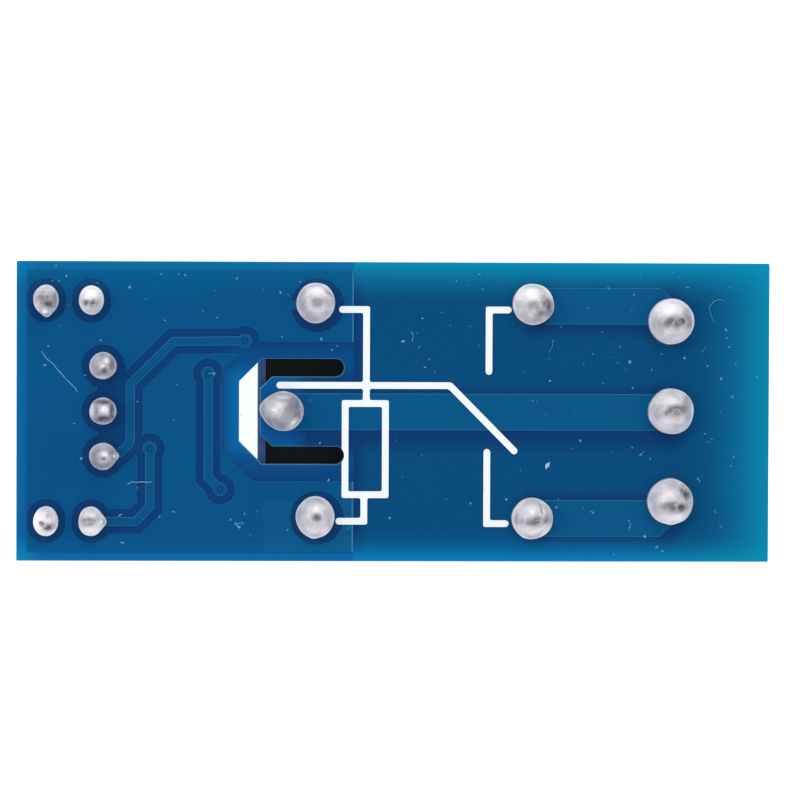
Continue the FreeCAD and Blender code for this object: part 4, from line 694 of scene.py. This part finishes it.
def lampForm(name, nodeName, material, centreY):
    # flange, straight barrel and domed end as one turned form with a flat on the flange
    seat, radius, flange, steps = lampLook["seat"], lampLook["radius"], lampLook["flange"], lampLook["domeSteps"]
    dome, lip = seat - lampLook["length"] + radius, seat - lampLook["flangeHeight"]
    profile = [(0.0, seat), (flange - 0.05 * mm, seat), (flange, seat - 0.05 * mm), (flange, lip + 0.08 * mm),
               (flange - 0.08 * mm, lip), (radius + 0.06 * mm, lip), (radius, lip - 0.08 * mm), (radius, dome)]
    for step in range(1, steps + 1):
        angle = math.pi / 2 * step / steps
        profile.append((radius * math.cos(angle), dome - radius * math.sin(angle)))
    form = bmesh.new()
    spokes, rows = lampLook["spokes"], []
    for r, z in profile:
        if r < 1e-6:
            rows.append([form.verts.new((lampLook["centreX"], centreY, z))])
            continue
        row = []
        for spoke in range(spokes):
            angle = 2 * math.pi * spoke / spokes
            px = r * math.cos(angle)
            if z > lip - 0.01 * mm:
                px = min(px, lampLook["flat"])
            row.append(form.verts.new((lampLook["centreX"] + px, centreY + r * math.sin(angle), z)))
        rows.append(row)
    for low, high in zip(rows, rows[1:]):
        for spoke in range(spokes):
            after = (spoke + 1) % spokes
            if len(low) == 1:
                form.faces.new((low[0], high[spoke], high[after]))
            elif len(high) == 1:
                form.faces.new((low[spoke], high[0], low[after]))
            else:
                form.faces.new((low[spoke], high[spoke], high[after], low[after]))
    bmesh.ops.recalc_face_normals(form, faces=form.faces)
    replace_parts(newPiece(name, meshFrom(form, name), material), nodeName)


lampForm("powerLamp", "power_led", castResin("redCastEpoxy", lampLook["red"]), lampLook["centreY"])
lampForm("statusLamp", "status_led", castResin("greenCastEpoxy", lampLook["green"]),
         -lampLook["centreY"])
print("lamps done")


dustLook = {
    "pale": "#a5d4ec", "thin": "#2f7fae", "height": 16.957 * mm,
    "patch": 0.08 * mm,         # the width of a thin place in a speck
    "corners": 9, "steps": 6,   # of a fleck's rim, and between two places of a fibre
    "middleX": 392.8, "middleY": 411.7, "pixel": 0.05644,   # the board's middle, and a pixel's width in millimetres
}

# Dust and lint on the mask: dry and matt, the smallest specks half see-through, so they look bluer
dust, tree, point = newMaterial("dryDust")
thickness = addNode(tree, "ShaderNodeAttribute", output="Fac", attribute_name="thickness")
uneven = patches(tree, point, dustLook["patch"], 0.55, 1.0)
cover = addNode(tree, "ShaderNodeMath", {0: thickness, 1: uneven}, operation="MULTIPLY", use_clamp=True)
finishMaterial(tree, {"Base Color": layered(tree, dustLook["thin"], [(cover, dustLook["pale"])]),
                      "Roughness": 0.9, "IOR": 1.4})


def fromView(px, py):
    # a place on the solder side, from its place in an 800 pixel wide view from straight above
    return ((px - dustLook["middleX"]) * dustLook["pixel"] * mm, (dustLook["middleY"] - py) * dustLook["pixel"] * mm)


# places in the view from above, and the reach of each fleck, all in pixels
flecks = [
    (547, 465, 4.9), (402, 341, 2.2), (411, 333, 1.3), (416, 333, 1.1), (411, 340, 1.2), (418, 347, 1.3),
    (421, 318, 1.3), (455, 281, 1.7), (478, 274, 1.4), (467, 285, 1.1), (481, 289, 1.2), (449, 325, 1.3),
    (469, 326, 1.1), (424, 367, 1.7), (434, 371, 1.1), (428, 359, 1.1), (549, 380, 1.7), (389, 518, 1.5),
    (506, 499, 1.6), (580, 440, 1.5), (556, 507, 1.4), (591, 511, 1.1), (607, 287, 1.1), (632, 447, 1.3),
    (629, 361, 2.0), (632, 387, 1.3), (631, 309, 1.2), (684, 357, 1.7), (651, 369, 1.3), (686, 286, 1.3),
    (672, 271, 1.3), (639, 274, 1.2), (725, 328, 1.3), (725, 337, 1.2), (728, 346, 1.3), (721, 377, 1.4),
    (735, 362, 1.2), (707, 365, 1.4), (732, 395, 1.3), (720, 411, 1.2), (734, 456, 1.3), (731, 465, 1.2),
    (698, 478, 1.5), (645, 536, 2.1), (657, 547, 1.8), (662, 551, 1.2), (614, 554, 1.2), (629, 520, 1.3),
    (630, 527, 1.2), (715, 510, 1.4), (721, 525, 1.3), (650, 458, 1.5), (230, 520, 1.3), (235, 524, 1.6),
    (239, 527, 2.0), (242, 524, 1.3), (244, 514, 1.2), (160, 275, 1.3), (178, 275, 1.4), (184, 276, 1.4),
    (56, 267, 1.5), (66, 277, 2.0), (52, 282, 1.2), (59, 282, 1.2), (129, 288, 1.8), (97, 284, 1.3),
    (45, 366, 1.8), (100, 341, 1.5), (74, 424, 1.5), (173, 512, 1.8), (122, 543, 1.8), (119, 516, 1.5),
    (159, 517, 1.4), (236, 279, 1.7), (279, 293, 1.5), (281, 337, 1.2), (320, 339, 2.0), (328, 480, 1.6),
    (213, 374, 1.7), (81, 459, 2.0), (85, 376, 1.5), (117, 460, 1.3), (336, 346, 1.2), (299, 282, 1.3),
    (137, 402, 1.3), (48, 347, 1.2), (164, 321, 1.4), (216, 318, 1.2), (202, 312, 1.1), (240, 415, 1.0),
    (309, 400, 1.2), (319, 443, 1.2), (287, 530, 1.2), (523, 372, 1.0), (470, 503, 1.4), (757, 376, 1.5),
    (712, 438, 1.3), (705, 433, 1.3), (641, 454, 1.4), (602, 383, 1.2), (560, 326, 1.2), (552, 340, 1.3),
    (592, 353, 1.1), (610, 356, 0.9), (583, 363, 1.1), (619, 346, 1.1), (617, 362, 0.9), (625, 369, 1.0),
    (661, 353, 1.1), (729, 346, 1.2), (736, 363, 1.2), (726, 329, 1.6), (727, 337, 1.3), (721, 378, 1.9),
    (733, 396, 1.3), (708, 441, 1.1), (700, 480, 1.2), (716, 512, 1.2), (722, 527, 1.1), (729, 286, 1.1),
    (688, 286, 1.1), (608, 288, 1.2), (633, 294, 1.1), (587, 307, 1.0), (601, 331, 0.9), (548, 358, 0.9),
    (571, 448, 0.9), (612, 452, 0.9), (532, 400, 1.2), (536, 401, 1.0), (573, 413, 1.0), (545, 414, 0.9),
    (583, 507, 1.2), (593, 512, 1.3), (558, 499, 1.0), (663, 551, 1.6), (658, 546, 1.4), (440, 312, 0.9),
    (446, 499, 0.9), (421, 455, 0.9), (402, 477, 0.9), (395, 440, 0.8), (520, 470, 0.9), (478, 345, 0.9),
    (68, 306, 1.0), (60, 327, 1.0), (173, 420, 1.1), (176, 385, 0.9), (256, 512, 1.0), (250, 536, 1.0),
    (287, 295, 1.0), (262, 290, 0.9), (348, 528, 1.1), (331, 350, 1.3), (214, 291, 0.9), (145, 300, 0.9),
]
form = bmesh.new()
layer = form.verts.layers.float.new("thickness")
rnd = random.Random(7)
corners = dustLook["corners"]
for px, py, size in flecks:
    x, y = fromView(px, py)
    reach = size * dustLook["pixel"] * mm
    turn = rnd.uniform(0, math.pi)
    stretch = rnd.uniform(0.45, 0.9)
    rim = []
    for k in range(corners):
        angle = 2 * math.pi * k / corners
        r = reach * rnd.uniform(0.6, 1.15)
        u, v = r * math.cos(angle), r * stretch * math.sin(angle)
        rim.append(form.verts.new((x + u * math.cos(turn) - v * math.sin(turn),
                                   y + u * math.sin(turn) + v * math.cos(turn), dustLook["height"])))
    peak = form.verts.new((x, y, dustLook["height"] + min(0.03 * mm, 0.3 * reach)))
    for vert in rim + [peak]:
        vert[layer] = min(1.0, 0.28 * size - 0.12)
    for k in range(corners):
        form.faces.new((rim[k], rim[(k + 1) % corners], peak))
newPiece("dustFlecks", meshFrom(form, "dustFlecks"), dust, smooth=False)

# lint and scratches: the way that each lies, its half width in millimetres and how pale it is
fibres = [
    ([(41, 352), (46, 359), (52, 364), (59, 372), (65, 379), (71, 385), (75, 389), (77, 393)], 0.05, 0.34),
    ([(127, 485), (131, 482), (136, 483), (141, 482), (147, 483), (152, 482)], 0.03, 0.9),
    ([(136, 489), (138, 487)], 0.03, 0.4),
    ([(118, 517), (122, 514)], 0.03, 0.7),
    ([(724, 300), (719, 298), (713, 300), (709, 306), (710, 314), (713, 320)], 0.03, 0.32),
    ([(410, 331), (412, 336), (411, 342)], 0.024, 0.5),
    ([(548, 352), (551, 346), (552, 340)], 0.02, 0.3),
    ([(700, 352), (706, 346)], 0.022, 0.28),
    ([(629, 519), (631, 524), (628, 530)], 0.022, 0.3),
    ([(638, 455), (645, 450)], 0.022, 0.35),
    ([(208, 374), (213, 373), (214, 376)], 0.024, 0.7),
    ([(239, 530), (236, 525), (242, 522)], 0.022, 0.6),
]
form = bmesh.new()
layer = form.verts.layers.float.new("thickness")
for route, halfWidth, paleness in fibres:
    line = [Vector(fromView(px, py) + (dustLook["height"],)) for px, py in route]
    spots = []
    for first, second in zip(line, line[1:]):
        spots += [first.lerp(second, k / dustLook["steps"]) for k in range(dustLook["steps"])]
    spots.append(line[-1])
    last = None
    for k, spot in enumerate(spots):
        ahead = (spots[min(k + 1, len(spots) - 1)] - spots[max(k - 1, 0)]).normalized()
        side = Vector((-ahead.y, ahead.x, 0))
        share = k / (len(spots) - 1)
        swell = 0.35 + 0.65 * math.sin(math.pi * share) ** 0.5 * (0.7 + 0.6 * noise.noise(spot / (0.3 * mm)))
        reach = max(0.1, swell) * halfWidth * mm
        drift = side * 0.03 * mm * noise.noise(spot / (0.25 * mm) + Vector((7, 0, 0)))
        ring = [form.verts.new(spot + drift + side * a * reach + Vector((0, 0, b * reach)))
                for a, b in ((-1, 0), (-0.6, 0.8), (0.6, 0.8), (1, 0))]
        for vert in ring:
            vert[layer] = paleness * (0.75 + 0.5 * noise.noise(spot / (0.4 * mm)))
        if last:
            for a, b in ((0, 1), (1, 2), (2, 3)):
                form.faces.new((last[a], last[b], ring[b], ring[a]))
        last = ring
newPiece("lintFibres", meshFrom(form, "lintFibres"), dust)
print("dust done")


studio = {
    "floorSize": 3.0, "floorHeight": -0.02 * mm, "floorColour": "#f7f7f7", "floorShade": "#f2f2f2", "floorLift": 0.62,
    "cameraPlace": (-8.486 * mm, 7.540 * mm, 266.9 * mm), "cameraTurn": (-1.5805, -2.0188, 0.2179),
    "lens": 199.53, "sensor": 36,
    "sky": "#eef3f8", "skyStrength": 0.6,
    "boxSize": 0.34, "aim": (0, 0, 0.015),
}

# White acrylic on a light table: matt, and lit faintly from beneath
floorFinish, tree, point = newMaterial("opalAcrylic")
cloud = patches(tree, point, 0.2, 0.0, 1.0)
finishMaterial(tree, {
    "Base Color": layered(tree, studio["floorColour"], [(cloud, studio["floorShade"])]), "Roughness": 0.6,
    "IOR": 1.49, "Emission Color": "#ffffff", "Emission Strength": studio["floorLift"]})
mesh = bpy.data.meshes.new("studioFloor")
half, low = studio["floorSize"] / 2, studio["floorHeight"]
mesh.from_pydata([(-half, -half, low), (half, -half, low), (half, half, low), (-half, half, low)], [], [(0, 1, 2, 3)])
mesh.materials.append(floorFinish)
floor = bpy.data.objects.new("studioFloor", mesh)
bpy.context.scene.collection.objects.link(floor)

world = bpy.data.worlds.new("softRoom")
bpy.context.scene.world = world
world.use_nodes = True
world.node_tree.nodes["Background"].inputs[0].default_value = linearColour(studio["sky"])
world.node_tree.nodes["Background"].inputs[1].default_value = studio["skyStrength"]

# four soft boxes round the object, all outside the mirror direction of the flat board
softBoxes = [("softBoxLeft", (-0.42, 0.10, 0.36), 0.72), ("softBoxRight", (0.42, -0.05, 0.36), 0.38),
             ("softBoxBack", (0.05, 0.42, 0.34), 0.8), ("softBoxFront", (-0.05, -0.42, 0.34), 0.36)]
for name, place, power in softBoxes:
    lamp = bpy.data.lights.new(name, "AREA")
    lamp.shape = "SQUARE"
    lamp.size = studio["boxSize"]
    lamp.energy = power
    lampObject = bpy.data.objects.new(name, lamp)
    lampObject.location = place
    lampObject.rotation_euler = (Vector(studio["aim"]) - Vector(place)).to_track_quat("-Z", "Y").to_euler()
    bpy.context.scene.collection.objects.link(lampObject)

cameraData = bpy.data.cameras.new("camera")
cameraData.lens = studio["lens"]
cameraData.sensor_width = studio["sensor"]
cameraData.clip_start = 0.01
cameraData.clip_end = 20
camera = bpy.data.objects.new("camera", cameraData)
camera.location = studio["cameraPlace"]
camera.rotation_euler = [math.radians(a) for a in studio["cameraTurn"]]
bpy.context.scene.collection.objects.link(camera)
bpy.context.scene.camera = camera
bpy.context.scene.view_settings.view_transform = "Standard"
print("studio done")
